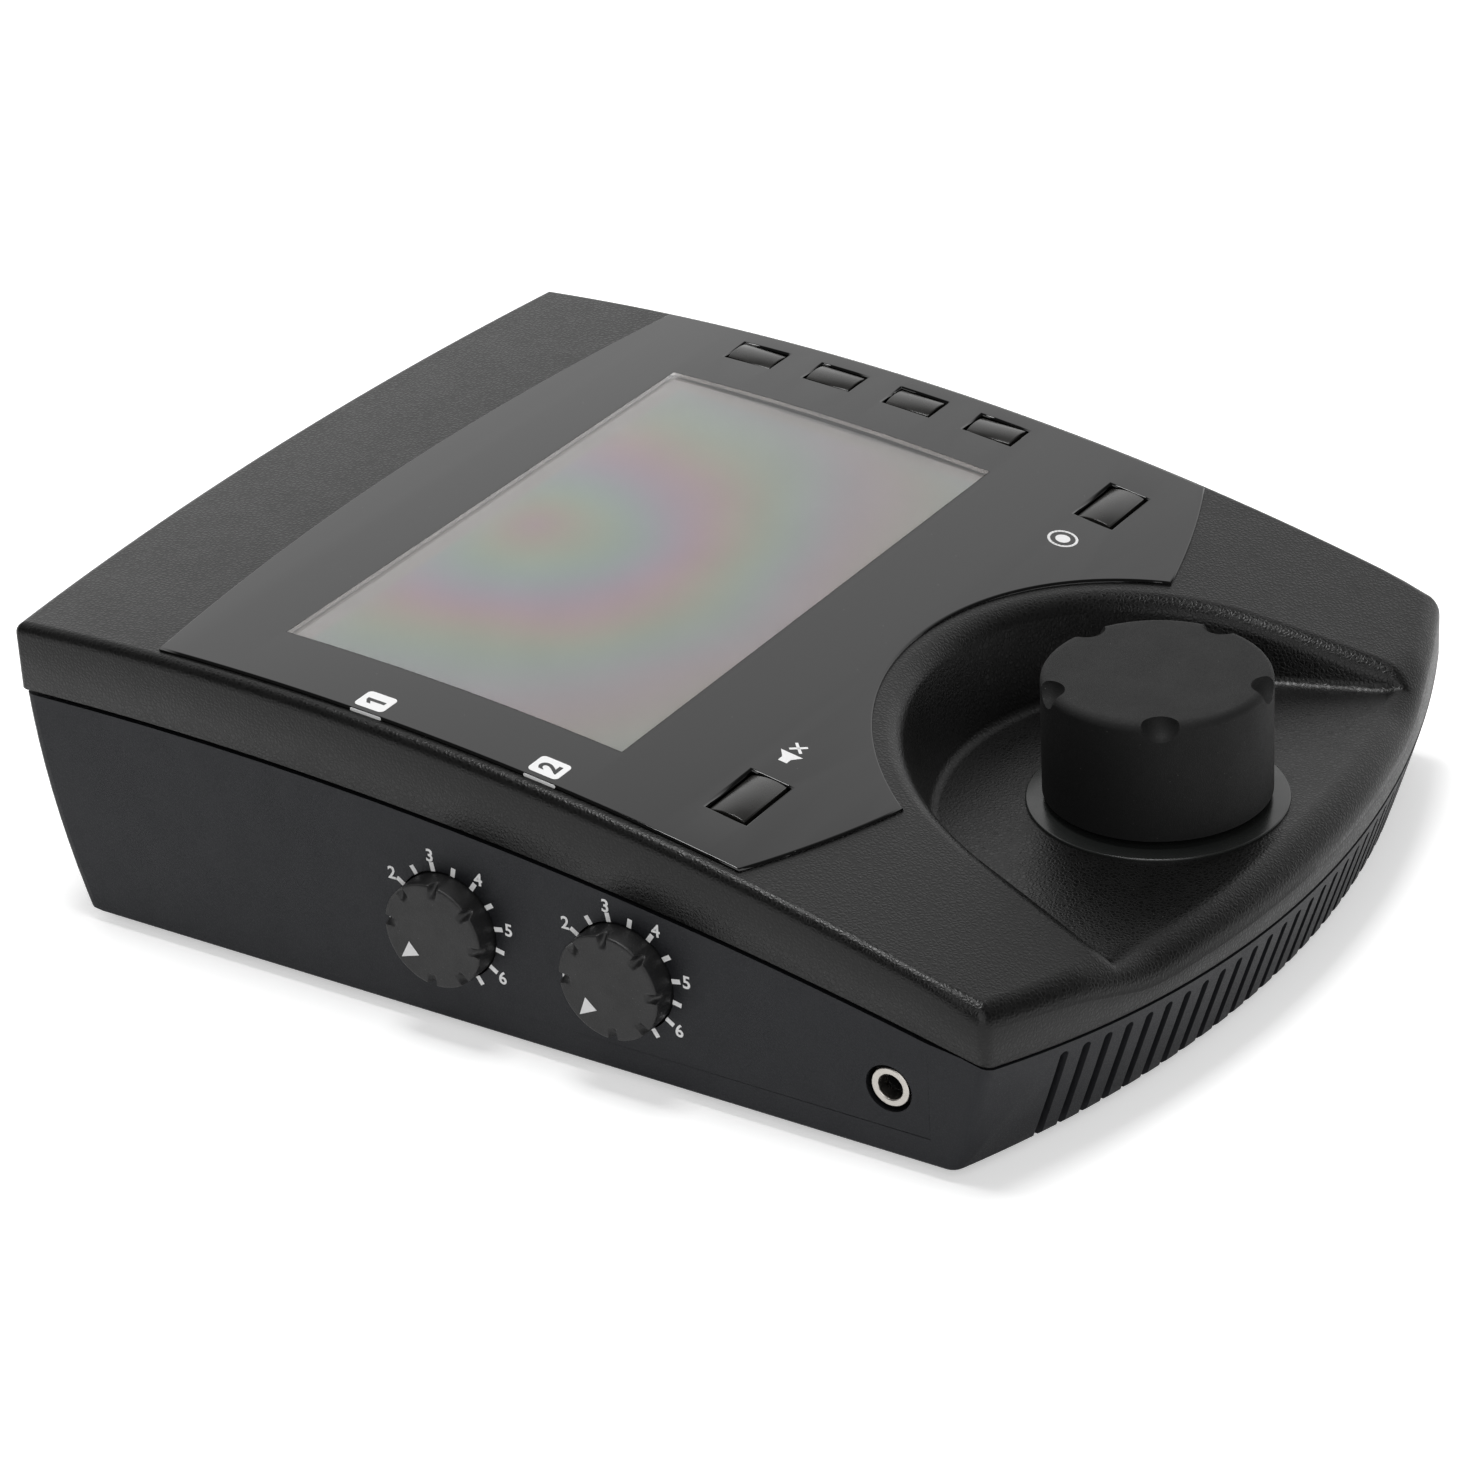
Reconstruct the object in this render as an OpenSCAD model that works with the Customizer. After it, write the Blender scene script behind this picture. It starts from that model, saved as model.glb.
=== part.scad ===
// Personal monitor mixer: a desktop unit with an arched top, a display, keys, a push dial and side controls.
// Millimetres. +X is the unit's right, +Y its back, +Z up. The table is at z = 0.

/* [Case] */
// Width of the case
case_w = 130; // [124:1:150]
// Depth of the case from the middle of the bowed front to the back
case_d = 169.5; // [166:0.5:186]
// Height of the top's crest above the case bottom
case_h = 44.1; // [43:0.1:50]
// Height of the rubber feet below the case
foot_h = 1.5; // [1:0.1:4]
// Thickness of the shells
wall = 2.4; // [1.8:0.1:2.8]
// Radius of the arched top
top_r = 458; // [440:1:500]
// Distance of the top's crest from the back wall
crest_inset = 22.6; // [16:0.1:28]
// Rounding of the cover's upper edges
edge_r = 1.6; // [1:0.1:1.7]
// How far the front bows out in its middle, at the seam
front_bow = 16.7; // [12:0.1:19]
// How far the front bows out in its middle, at the case bottom
front_bow_low = 13.6; // [11:0.1:16]
// How far the lower front wall leans in, in its middle
front_lean = 8.1; // [5:0.1:9]
// How far the lower back wall leans in
back_lean = 6.8; // [5:0.1:7.1]
// How far the lower back wall steps in under the cover
back_step = 0.4; // [0.2:0.1:0.6]
// Rounding of the upright corners at the front
corner_front_r = 2; // [1.8:0.1:4]
// Rounding of the upright corners at the back
corner_back_r = 1.8; // [1.8:0.1:4]
// Bevel round the bottom of the case
base_bevel = 0.5; // [0.4:0.1:1.6]

/* [Seam] */
// Radius of the curved seam between cover and case
seam_r = 609; // [580:1:660]
// Height of the seam's crest above the case bottom
seam_h = 33.3; // [32:0.1:34]
// Distance of the seam's crest from the back wall
seam_crest_inset = 12; // [6:0.1:18]
// Width of the seam
seam_gap = 0.7; // [0.3:0.1:1]
// Height of the cover's alignment ribs below the seam
rib_h = 2.5; // [1:0.1:4]

/* [Dial well] */
// Distance of the dial's axis from the front
dial_inset = 27.45; // [26:0.05:30]
// Height of the well's floor above the case bottom
well_floor_h = 21.3; // [20.8:0.1:22]
// Radius of the well at its floor
well_r = 37.4; // [34:0.1:39]
// Distance of the well's centre in front of the dial's axis
well_ahead = 7.7; // [5:0.1:9]
// Draft of the well's wall in degrees
well_draft = 15; // [8:1:18]
// Angle at which the well's flanks open to the front in degrees
flank_angle = 18; // [12:1:22]

/* [Display panel] */
// Width of the panel
panel_w = 126; // [123:0.5:127]
// Thickness of the panel
panel_t = 1.6; // [1.4:0.1:2]
// How far the panel stands proud of the cover
panel_proud = 0.5; // [0.3:0.1:0.8]
// Distance of the panel's back edge from the back wall
panel_back_inset = 21.95; // [18:0.05:24]
// Radius of the panel's front edges
panel_front_r = 162; // [150:1:180]
// Distance of the panel's front edges' crest from the front
panel_front_inset = 40.8; // [39:0.1:42]
// Margin between the well's rim and the panel
panel_rim_margin = 3.3; // [2.5:0.1:5]
// Width of the display window
window_w = 96; // [90:0.5:98]
// Depth of the display window
window_d = 54.7; // [50:0.1:56]
// Sideways place of the window's middle
window_x = -2.9; // [-3.4:0.1:-1.5]
// Distance of the window's middle behind the middle between the panel's back edge and the dial's rim
window_shift = 0.6; // [-1:0.05:2]
// Clearance round the panel and its window
panel_gap = 0.15; // [0.1:0.01:0.25]

/* [Keys] */
// Width of a key beside the display
softkey_w = 5.3; // [4:0.1:5.6]
// Length of a key beside the display
softkey_l = 7.6; // [6:0.1:9]
// Distance between the keys beside the display
softkey_pitch = 13.83; // [13:0.01:14.5]
// Sideways place of the keys beside the display
softkey_x = 56.6; // [56.2:0.1:57.2]
// Distance of those keys' middle behind the middle between the panel's back edge and the dial's rim
softkey_shift = -0.35; // [-1:0.05:1]
// Width of the mute and record keys
action_w = 10.6; // [8:0.1:12]
// Length of the mute and record keys
action_l = 5.7; // [5:0.1:7]
// Distance of the mute and record keys' middles from the case's sides
action_side = 16.4; // [15:0.1:18]
// Distance of the mute and record keys behind the dial's axis
action_back = 33.7; // [33:0.1:36]
// Gap round a key
key_gap = 0.25; // [0.2:0.01:0.35]
// Height of a key above the panel
key_rise = 0.5; // [0.4:0.1:1]
// Travel of a key
key_travel = 0.5; // [0.3:0.05:0.6]
// Radius of a key's crown
key_crown_r = 9; // [8:0.5:20]

/* [Dial] */
// Radius of the dial knob
dial_r = 15.6; // [14.5:0.1:16.4]
// Height of the dial knob
dial_h = 17.4; // [16:0.1:20]
// Height of the dial knob's lower rim above the well's floor
dial_lift = 1.8; // [1.6:0.1:2.4]
// Rounding of the dial knob's upper edge
dial_edge_r = 1.2; // [0.5:0.1:2]
// Thickness of the dial knob's skirt
dial_skirt = 2; // [1.5:0.1:3]
// Number of thumb notches in the dial knob
dial_notches = 5; // [3:1:8]
// Radius of a thumb notch
notch_r = 2.6; // [2:0.1:3.2]
// Turn of the first thumb notch in degrees
notch_turn = -150; // [-180:1:180]
// Radius of the ring under the dial knob
ring_r = 17.9; // [17:0.1:19]
// Inner radius of that ring
ring_hole_r = 9; // [8:0.1:11]
// Depth of that ring's seat in the well's floor
ring_seat = 0.8; // [0.6:0.1:1.2]
// Travel of the dial's push action
dial_travel = 0.6; // [0.4:0.05:0.7]
// Radius of the encoder's shaft and of the gain shafts
shaft_r = 3; // [2.5:0.05:3.1]
// Running clearance of a shaft in its bore
shaft_gap = 0.05; // [0.03:0.01:0.09]

/* [Side controls] */
// Radius of a gain knob
gain_r = 7.75; // [6.5:0.05:8]
// How far a gain knob stands proud of the case
gain_proud = 3.5; // [3:0.1:5]
// Distance of the first gain knob from the back wall
gain_back = 69.9; // [68:0.1:72]
// Distance between the gain knobs
gain_pitch = 28.1; // [24:0.1:30]
// Height of the gain knobs above the case bottom
gain_z = 15.05; // [14.5:0.05:16]
// Turn of each gain knob's pointer at rest, clockwise from up, in degrees
gain_turns = [-130, -138];
// Gap round a gain knob
gain_gap = 0.3; // [0.25:0.05:0.5]
// Distance of the headphone socket from the front
phones_front = 31.1; // [30:0.1:33]
// Height of the headphone socket above the case bottom
phones_z = 10; // [9.6:0.1:11]
// Radius of the headphone socket's bore
phones_r = 1.8; // [1.7:0.01:1.85]
// Radius of the headphone socket's metal ferrule
ferrule_r = 2.85; // [2.6:0.05:3.2]
// Radius of the hole round the ferrule
ferrule_hole_r = 3.4; // [3.3:0.1:4]
// Margin of the side plate beyond the holes of the side controls
side_margin = 2.5; // [2:0.1:2.8]

/* [Vents] */
// Number of vent slots in the front
vent_count = 29; // [5:2:29]
// Distance between vent slots
vent_pitch = 3.75; // [3:0.05:3.8]
// Width of a vent slot
vent_w = 1.4; // [1:0.1:2]
// Distance of the slots' upper ends below the seam
vent_drop = 1.4; // [1:0.1:4]

/* [Rear sockets] */
// Gap between the row of sockets and the screw posts beside it
socket_end = 0.5; // [0.3:0.1:1]
// Radius of a jack's bore
jack_r = 3.25; // [3.2:0.01:3.3]
// Radius of a jack's nose
jack_nose_r = 5.8; // [5.2:0.1:6.2]
// Gap round a socket in the back wall
socket_gap = 0.3; // [0.2:0.05:0.5]
// Distance of the sockets' faces from the back
socket_inset = 3.75; // [3:0.05:5]
// Thickness of the plate round the sockets
plate_t = 2; // [1.5:0.1:2.2]
// Margin of that plate beside the sockets
plate_margin = 3; // [2:0.1:4]

/* [Boards] */
// Thickness of the circuit boards
board_t = 1.6; // [1.2:0.1:2]
// Height of the posts under the main board
post_h = 2.6; // [2.2:0.1:3]
// Depth of the control board below the cover's top
control_depth = 9.5; // [9:0.1:10.5]

/* [Fasteners and feet] */
// Radius of the case screws' shanks
screw_r = 1.45; // [1.3:0.05:1.6]
// Radius of the case screws' heads
screw_head_r = 2.9; // [2.6:0.1:3.1]
// Radius of the posts that take the case screws
boss_r = 3.4; // [3.3:0.1:3.8]
// Radius of a rubber foot
foot_r = 5.4; // [4.5:0.1:6]

/* [Hidden] */
$fn = 48;
arc_fn = 360;
slab_t = 0.01;
over = 1;
rim_steps = 4;

// Places taken from the case
back_y = case_d / 2;
front_y = -case_d / 2;
frame_x = gain_proud / 2;
crest_y = back_y - crest_inset;
top_cz = foot_h + case_h - top_r;
seam_y = back_y - seam_crest_inset;
seam_cz = foot_h + seam_h - seam_r;
seam_front_z = seam_z(front_y);
seam_corner_z = seam_z(front_y + front_bow);
dial_y = front_y + dial_inset;
well_y = dial_y - well_ahead;
well_floor_z = foot_h + well_floor_h;
panel_back_y = back_y - panel_back_inset;
panel_front_y = front_y + panel_front_inset + panel_front_r;

// Alignment ribs of the cover
rib_t = 1.4;
rib_gap = 0.2;
rib_root = 3;
rib_end = 6;

// Height of the cover's top, of the seam and of a flat line under the softkeys, at a depth place
function top_z(y) = top_cz + sqrt(top_r * top_r - (y - crest_y) * (y - crest_y));
function seam_z(y) = seam_cz + sqrt(seam_r * seam_r - (y - seam_y) * (y - seam_y));
function chord_z(y) = top_z(softkey_y(3)) + (y - softkey_y(3)) * tan(control_tilt);

// Radius of an arc from its half width and its bow
function arc_r(half, bow) = (half * half + bow * bow) / (2 * bow);

// The lower case's lean: how far down a height lies from the seam to the bottom, as a share
function front_share(z) = (seam_front_z - z) / (seam_front_z - foot_h);
function back_share(z) = (foot_h + seam_h - z) / seam_h;
function case_front(z) = front_y + front_lean * front_share(z);
function case_back(z) = back_y - back_step - back_lean * back_share(z);
function case_bow(z) = middle_bow + (front_bow_low - middle_bow) * front_share(z);

// Depth place of the lower front wall's outside at a height and a sideways place
function front_wall_y(z, x) = let (r = arc_r(case_w / 2, case_bow(z)))
  case_front(z) + r - sqrt(r * r - x * x);

// The lower front's bow at the height of the seam's front, by which its corners meet the cover's corners
corner_share = -front_share(seam_corner_z);
middle_bow = (front_bow + (front_lean + front_bow_low) * corner_share) / (1 + corner_share);

// The well
well_slope = tan(well_draft);
function well_r_at(z) = well_r + (z - well_floor_z) * well_slope;
function rim_r(r) = well_r_at(top_z(well_y + r));
panel_arc_r = rim_r(rim_r(well_r)) + panel_rim_margin;

// Places of the window and the keys
middle_y = (panel_back_y + well_y + panel_arc_r) / 2;
window_y = middle_y + window_shift;
function softkey_y(i) = middle_y + softkey_shift + (1.5 - i) * softkey_pitch;
action_x = case_w / 2 - action_side;
action_y = dial_y + action_back;
control_tilt = atan((top_z(softkey_y(0)) - top_z(softkey_y(3))) / (softkey_y(0) - softkey_y(3)));

// Keys: flange under the cover, stem into the switch
flange_rim = 1.3;
flange_t = 1;
flange_seat = 1.9;
seat_gap = 0.1;
stem_r = 1.6;
stem_gap = 0.15;
switch_w = 6;
switch_h = 3.5;
switch_bore = 2.6;
stem_reach = 1.4;
function key_lift(y) = (top_z(y) - chord_z(y)) * cos(control_tilt);
KEYS = [
  for (i = [0 : 3]) [softkey_x, softkey_y(i), softkey_w, softkey_l],
  [-action_x, action_y, action_w, action_l],
  [action_x, action_y, action_w, action_l]
];

// Display module
lcd_margin = 0.8;
lcd_t = 3;
lcd_clear = 0.6;
lcd_drop = panel_t - panel_proud + lcd_clear;
lcd_gap = 0.5;
lcd_frame_rim = 4;
lcd_frame_wall = 3;
lcd_frame_t = 2;
lcd_w = window_w + 2 * lcd_margin;
lcd_d = window_d + 2 * lcd_margin;

// Control board and its posts
control_side = 5.5;
control_back = 5.8;
control_front = 5.5;
control_well_gap = 1.5;
control_boss_gap = 0.3;
control_post_r = 2.2;
control_screw_r = 0.85;
control_screw_gap = 0.05;
control_hole_r = 1;
control_head_r = 1.8;
control_head_h = 1.2;
control_screw_l = 4.5;
control_post_back = 12.05;
control_post_side = 7.8;
control_post_x = case_w / 2 - control_post_side;
CONTROL_POSTS = [
  for (s = [-1, 1]) for (y = [softkey_y(0) + control_post_back, (softkey_y(3) + action_y) / 2])
    [s * control_post_x, y]
];
header_w = 26;
header_d = 5;
header_h = 2.5;
ribbon_w = 24;
ribbon_t = 0.7;
ribbon_gap = 0.1;
ribbon_y = softkey_y(1);

// Main board and its posts
floor_z = foot_h + wall;
main_z = floor_z + post_h;
main_top = main_z + board_t;
main_side = 7;
main_front = 27;
main_back = 9.75;
main_x = case_w / 2 - main_side;
main_front_y = front_y + main_front;
main_back_y = back_y - main_back;
post_r = 3;
post_side = 22;
post_back = 42.75;
post_front = 39.75;
post_x = case_w / 2 - post_side;
post_back_y = back_y - post_back;
post_front_y = front_y + post_front;
board_screw_r = 1.05;
board_screw_gap = 0.05;
board_head_r = 2.2;
board_head_h = 1.6;
board_screw_bite = 3.6;
MAIN_POSTS = [for (s = [-1, 1]) for (y = [post_back_y, post_front_y]) [s * post_x, y]];

// Case screws
boss_side = 7.7;
boss_back = 14.75;
boss_x = case_w / 2 - boss_side;
boss_back_y = back_y - boss_back;
boss_front_y = (back_y - gain_back - gain_pitch + front_y + phones_front) / 2;
boss_split_z = main_top;
boss_gap = 0.05;
board_boss_gap = 0.8;
screw_hole_gap = 0.25;
screw_bite_gap = 0.05;
screw_head_h = 1.9;
screw_sink = 2;
screw_head_gap = 0.3;
screw_l = 12;
BOSSES = [for (s = [-1, 1]) for (y = [boss_back_y, boss_front_y]) [s * boss_x, y]];
rib_front_y = boss_front_y + rib_end;
rib_l = boss_back_y - boss_front_y - 2 * rib_end;

// Feet
foot_sink = 0.8;
foot_gap = 0.2;
foot_bevel = 0.6;
foot_back_side = 15;
foot_front_side = 11;
foot_back = 24.75;
foot_front = 30;
FEET = [
  for (s = [-1, 1]) [s * (case_w / 2 - foot_back_side), back_y - foot_back],
  for (s = [-1, 1]) [s * (case_w / 2 - foot_front_side), front_y + foot_front]
];

// Dial and encoder
ring_edge_h = 0.4;
ring_rise = 0.5;
ring_flat_r = 12;
ring_gap = 0.15;
dial_top_t = 3;
hub_r = 5.5;
hub_gap = 2;
bore_gap = 0.02;
shaft_end_gap = 0.3;
bush_r = 3.5;
bush_l = 7;
bush_hole_gap = 0.1;
washer_r = 6;
washer_t = 0.5;
nut_af = 10;
nut_h = 2;
encoder_w = 12.4;
encoder_h = 6.4;
rotor_r = 5;
rotor_gap = 0.3;
rotor_h = 2.8;
rotor_space = 3.6;
encoder_board_w = 26;
encoder_pins_w = 12;
encoder_pins_d = 2.5;
well_under_z = well_floor_z - ring_seat - wall;
encoder_z = well_under_z - encoder_h;
dial_z = well_floor_z + dial_lift;
dial_top_z = dial_z + dial_h;
hub_z = well_under_z + bush_l + hub_gap;
shaft_top_z = dial_top_z - dial_top_t - shaft_end_gap;
shaft_low_z = encoder_z + dial_travel + rotor_gap + seat_gap;

// Gain controls
gain_y = [back_y - gain_back, back_y - gain_back - gain_pitch];
gain_axis_z = foot_h + gain_z;
gain_depth = 4.6;
gain_notches = 8;
gain_notch_r = 1.6;
gain_edge_r = 0.35;
pointer_t = 0.2;
pointer_tip_r = 7.1;
pointer_base_r = 4.1;
pointer_w = 1.2;
pot_gap = 0.4;
pot_bush_l = 2.5;
pot_bush_r = 4;
pot_t = 7;
pot_w = 11;
pot_over = 6;
pot_end = 1;
side_x = case_w / 2;
gain_face_x = -side_x - gain_proud;
gain_back_x = -side_x + gain_depth;
pot_mouth_x = gain_back_x + pot_gap;
pot_x = pot_mouth_x + pot_bush_l;
gain_bore_end = 2.5;

// Headphone socket
phones_y = front_y + phones_front;
phones_axis_z = foot_h + phones_z;
ferrule_sink = 0.3;
phones_gap = 0.3;
phones_l = 14;
phones_w = 7.5;
phones_end = 1;
phones_x = -side_x + wall + phones_gap;

// Rear sockets
socket_y = back_y - socket_inset;
back_tilt = atan(back_lean / seam_h);
plate_gap = 0.2;
plate_sink = 0.3;
jack_w = 15.5;
jack_h = 17;
jack_axis = 8.4;
jack_l = 33;
jack_end = 3;
jack_body_gap = 0.25;
jack_body_y = main_back_y - jack_body_gap;
jack_axis_z = main_top + jack_axis;
network_w = 16;
network_h = 13.5;
network_l = 18;
plug_w = 11.8;
plug_h = 8;
plug_deep = 14;
plug_lift = 3.2;
latch_w = 6;
latch_h = 2.2;
power_w = 9;
power_h = 11;
power_l = 14;
power_r = 3.15;
power_pin_r = 1;
power_deep = 9.5;

// Sideways places of the sockets, spread evenly between the rear screw posts
row_w = 2 * (boss_x - boss_r - socket_end);
row_gap = (row_w - 4 * jack_w - network_w - power_w) / 5;
jack_x = [for (i = [0 : 3]) jack_w / 2 - row_w / 2 + i * (jack_w + row_gap)];
network_x = jack_x[3] + jack_w / 2 + row_gap + network_w / 2;
power_x = network_x + network_w / 2 + row_gap + power_w / 2;

// The unit's middle plane is moved so that the origin lies under the middle of its box
module place() {
  translate([frame_x, 0, 0]) children();
}

// Plan outline with a bowed front and rounded corners
module outline(w, back, front, bow_r, back_r, front_r) {
  cx = w / 2 - front_r;
  bow_y = front + bow_r;
  cy = bow_y - sqrt((bow_r - front_r) * (bow_r - front_r) - cx * cx);
  turn = atan2(cy - bow_y, cx) / rim_steps;
  corner = [for (i = [rim_steps : -1 : 0]) [cx + front_r * cos(i * turn), cy + front_r * sin(i * turn)]];
  tip = carried(corner);
  right = concat(
    [[tip[0], front - over], tip], [for (i = [1 : rim_steps]) corner[i]], rim_points(w / 2, back, back_r)
  );
  left = [for (i = [len(right) - 1 : -1 : 0]) [-right[i][0], right[i][1]]];
  intersection() {
    polygon(concat(right, left));
    union() {
      translate([0, bow_y]) circle(bow_r, $fn = arc_fn);
      translate([-w, cy]) square([2 * w, back - cy + over]);
    }
  }
}

// Plan of the lower case at a height, drawn in from its outside
module case_plan(z, inset) {
  outline(
    case_w - 2 * inset, case_back(z) - inset, case_front(z) + inset,
    arc_r(case_w / 2, case_bow(z)) - inset, corner_back_r - inset / 2, corner_front_r - inset / 2
  );
}

module case_slab(z, inset) {
  translate([0, 0, z]) linear_extrude(slab_t) case_plan(z, inset);
}

// Lower case between its bottom and well above the seam, with leaning front and back walls
module case_solid(bottom, inset, bevel) {
  hull() {
    case_slab(bottom, inset + bevel);
    case_slab(bottom + bevel, inset);
    case_slab(foot_h + seam_h + over, inset);
  }
}

// Plan of the cover, whose walls are upright
module cover_plan(inset) {
  outline(
    case_w - 2 * inset, back_y - inset, front_y + inset,
    arc_r(case_w / 2, front_bow) - inset, corner_back_r - inset / 2, corner_front_r - inset / 2
  );
}

// Points of a rounded outer corner, from its side to its top
function rim_points(r, h, e) = [
  for (i = [0 : rim_steps]) [r - e + e * cos(i * 90 / rim_steps), h - e + e * sin(i * 90 / rim_steps)]
];

// The first of some points, carried on beyond it along its line
function carried(p) = p[0] + 4 * (p[0] - p[1]);

// Drum with a rounded upper rim
module drum(r, h, e) {
  rotate_extrude($fn = 2 * $fn) polygon(concat([[0, 0], [r, 0]], rim_points(r, h, e), [[0, h]]));
}

module under_top(drop) {
  translate([0, crest_y, top_cz]) rotate([0, 90, 0])
    cylinder(r = top_r - drop, h = 2 * case_w, center = true, $fn = arc_fn);
}

module under_seam(drop) {
  translate([0, seam_y, seam_cz]) rotate([0, 90, 0])
    cylinder(r = seam_r - drop, h = 2 * case_w, center = true, $fn = arc_fn);
}

// Outside of a rounded corner, up to a little beyond both ends of the rounding
function rim_outside(r, h, e) = let (
  rim = rim_points(r, h, e),
  low = carried(rim),
  high = carried([rim[rim_steps], rim[rim_steps - 1]])
) concat([low], [for (i = [1 : rim_steps - 1]) rim[i]], [high, [low[0], high[1]]]);

// Rounded upper edge along the back of the cover
module back_edge_cut() {
  rotate([90, 0, 90]) translate([0, 0, -case_w]) linear_extrude(2 * case_w)
    polygon(rim_outside(back_y, top_z(back_y - edge_r), edge_r));
}

// Rounded upper edge along one side of the cover
module side_edge_cut() {
  sweep = 28;
  past = 6;
  translate([0, crest_y, top_cz]) rotate([0, 90, 0]) rotate([0, 0, 180 - past])
    rotate_extrude(angle = sweep, $fn = 2 * arc_fn)
      polygon([for (p = rim_outside(side_x, top_r, edge_r)) [p[1], p[0]]]);
}

module cover_solid() {
  difference() {
    intersection() {
      under_top(0);
      linear_extrude(foot_h + case_h + over) cover_plan(0);
    }
    back_edge_cut();
    for (s = [0, 1]) mirror([s, 0, 0]) side_edge_cut();
  }
}

// Space of the well round the dial, grown by a wall
module well_space(grow, drop) {
  z0 = well_floor_z - drop;
  z1 = foot_h + case_h + over;
  hull() {
    well_slice(z0, well_r_at(z0) + grow);
    well_slice(z1, well_r_at(z1) + grow);
  }
}

// Slice of the well: round at the back, with flanks that touch the round part and open to the front
module well_slice(z, r) {
  x0 = r * cos(flank_angle);
  y0 = well_y + r * sin(flank_angle);
  y1 = front_y - over;
  x1 = x0 + (y0 - y1) * tan(flank_angle);
  translate([0, 0, z]) linear_extrude(slab_t) union() {
    translate([0, well_y]) circle(r, $fn = arc_fn / 3);
    polygon([[-x0, y0], [x0, y0], [x1, y1], [-x1, y1]]);
  }
}

// Plan of the display panel, drawn in from its outside
module panel_plan(inset) {
  difference() {
    intersection() {
      translate([-panel_w / 2 + inset, front_y])
        square([panel_w - 2 * inset, panel_back_y - inset - front_y]);
      translate([0, panel_front_y]) circle(panel_front_r - inset, $fn = arc_fn);
    }
    translate([0, well_y]) circle(panel_arc_r + inset, $fn = arc_fn);
  }
}

// Arched sheet between two depths below the cover's top
module top_sheet(high, low) {
  difference() {
    under_top(-high);
    under_top(low);
  }
}

module window_plan(inset) {
  translate([window_x, window_y]) square([window_w - 2 * inset, window_d - 2 * inset], center = true);
}

// Moves a shape onto the control board's slope, its origin on the line under the keys
module on_slope(x, y) {
  translate([x, y, chord_z(y)]) rotate([control_tilt, 0, 0]) children();
}

module block(w, d, z0, z1) {
  translate([-w / 2, -d / 2, z0]) cube([w, d, z1 - z0]);
}

module key_holes() {
  for (k = KEYS) on_slope(k[0], k[1])
    block(k[2] + 2 * key_gap, k[3] + 2 * key_gap, -control_depth, control_depth);
}

module flange_pockets() {
  gap = 2 * (flange_rim + key_gap);
  for (k = KEYS) on_slope(k[0], k[1])
    block(k[2] + gap, k[3] + gap, -control_depth - over, key_lift(k[1]) - flange_seat);
}

// Lower shell with its floor, posts, vents and holes
module bottom_case() {
  color([0.19, 0.2, 0.21]) difference() {
    union() {
      case_shell();
      for (p = BOSSES) translate([p[0], p[1], foot_h + slab_t])
        cylinder(r = boss_r, h = boss_split_z - foot_h);
      for (p = MAIN_POSTS) translate([p[0], p[1], floor_z - slab_t])
        cylinder(r = post_r, h = post_h + slab_t);
    }
    for (i = [0 : vent_count - 1]) vent((i - (vent_count - 1) / 2) * vent_pitch);
    side_block(over);
    plate_block(0, -2 * wall, wall);
    for (p = BOSSES) translate([p[0], p[1], foot_h - over]) {
      cylinder(r = screw_r + screw_hole_gap, h = boss_split_z + 2 * over);
      cylinder(r = screw_head_r + screw_head_gap, h = screw_sink + over);
    }
    for (p = MAIN_POSTS) translate([p[0], p[1], main_z - board_screw_bite])
      cylinder(r = board_screw_r + board_screw_gap, h = board_screw_bite + over);
    for (p = FEET) translate([p[0], p[1], foot_h - over])
      cylinder(r = foot_r + foot_gap, h = foot_sink + over);
  }
}

// Vent slot that follows the front wall's lean and runs out at the bottom
module vent(x) {
  y_low = front_wall_y(foot_h, x);
  y_high = front_wall_y(seam_front_z, x);
  lean = atan((y_low - y_high) / (seam_front_z - foot_h));
  long = (seam_z(y_high) - seam_gap / 2 - vent_drop - foot_h) / cos(lean);
  translate([x, y_low, foot_h]) rotate([lean, 0, 0]) {
    translate([-vent_w / 2, -wall, -wall]) cube([vent_w, 2 * wall, long + wall - vent_w / 2]);
    translate([0, wall, long - vent_w / 2]) rotate([90, 0, 0]) cylinder(r = vent_w / 2, h = 2 * wall);
  }
}

// Lower shell's walls and floor, up to the seam
module case_shell() {
  intersection() {
    difference() {
      case_solid(foot_h, 0, base_bevel);
      case_solid(floor_z, wall, 0);
    }
    under_seam(seam_gap / 2);
  }
}

// Block in the left wall round the holes of the side controls, open towards the seam
module side_block(past) {
  y0 = phones_y - ferrule_hole_r - side_margin;
  y1 = gain_y[0] + gain_r + gain_gap + side_margin;
  z0 = phones_axis_z - ferrule_hole_r - side_margin;
  translate([-side_x - over, y0, z0]) cube([over + wall + past, y1 - y0, seam_h]);
}

// Plate that carries the side controls, slid into the left wall from above and flush with it
module side_plate() {
  color([0.19, 0.2, 0.21]) difference() {
    intersection() {
      case_shell();
      side_block(0);
    }
    for (y = gain_y) side_hole(y, gain_axis_z, gain_r + gain_gap);
    side_hole(phones_y, phones_axis_z, ferrule_hole_r);
  }
}

module side_hole(y, z, r) {
  translate([-side_x - over, y, z]) rotate([0, 90, 0]) cylinder(r = r, h = wall + 2 * over);
}

// Moves a shape onto the leaning back wall, its +Y outwards and its +Z up along the wall
module on_back_wall() {
  translate([0, case_back(foot_h), foot_h]) rotate([-back_tilt, 0, 0]) children();
}

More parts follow.
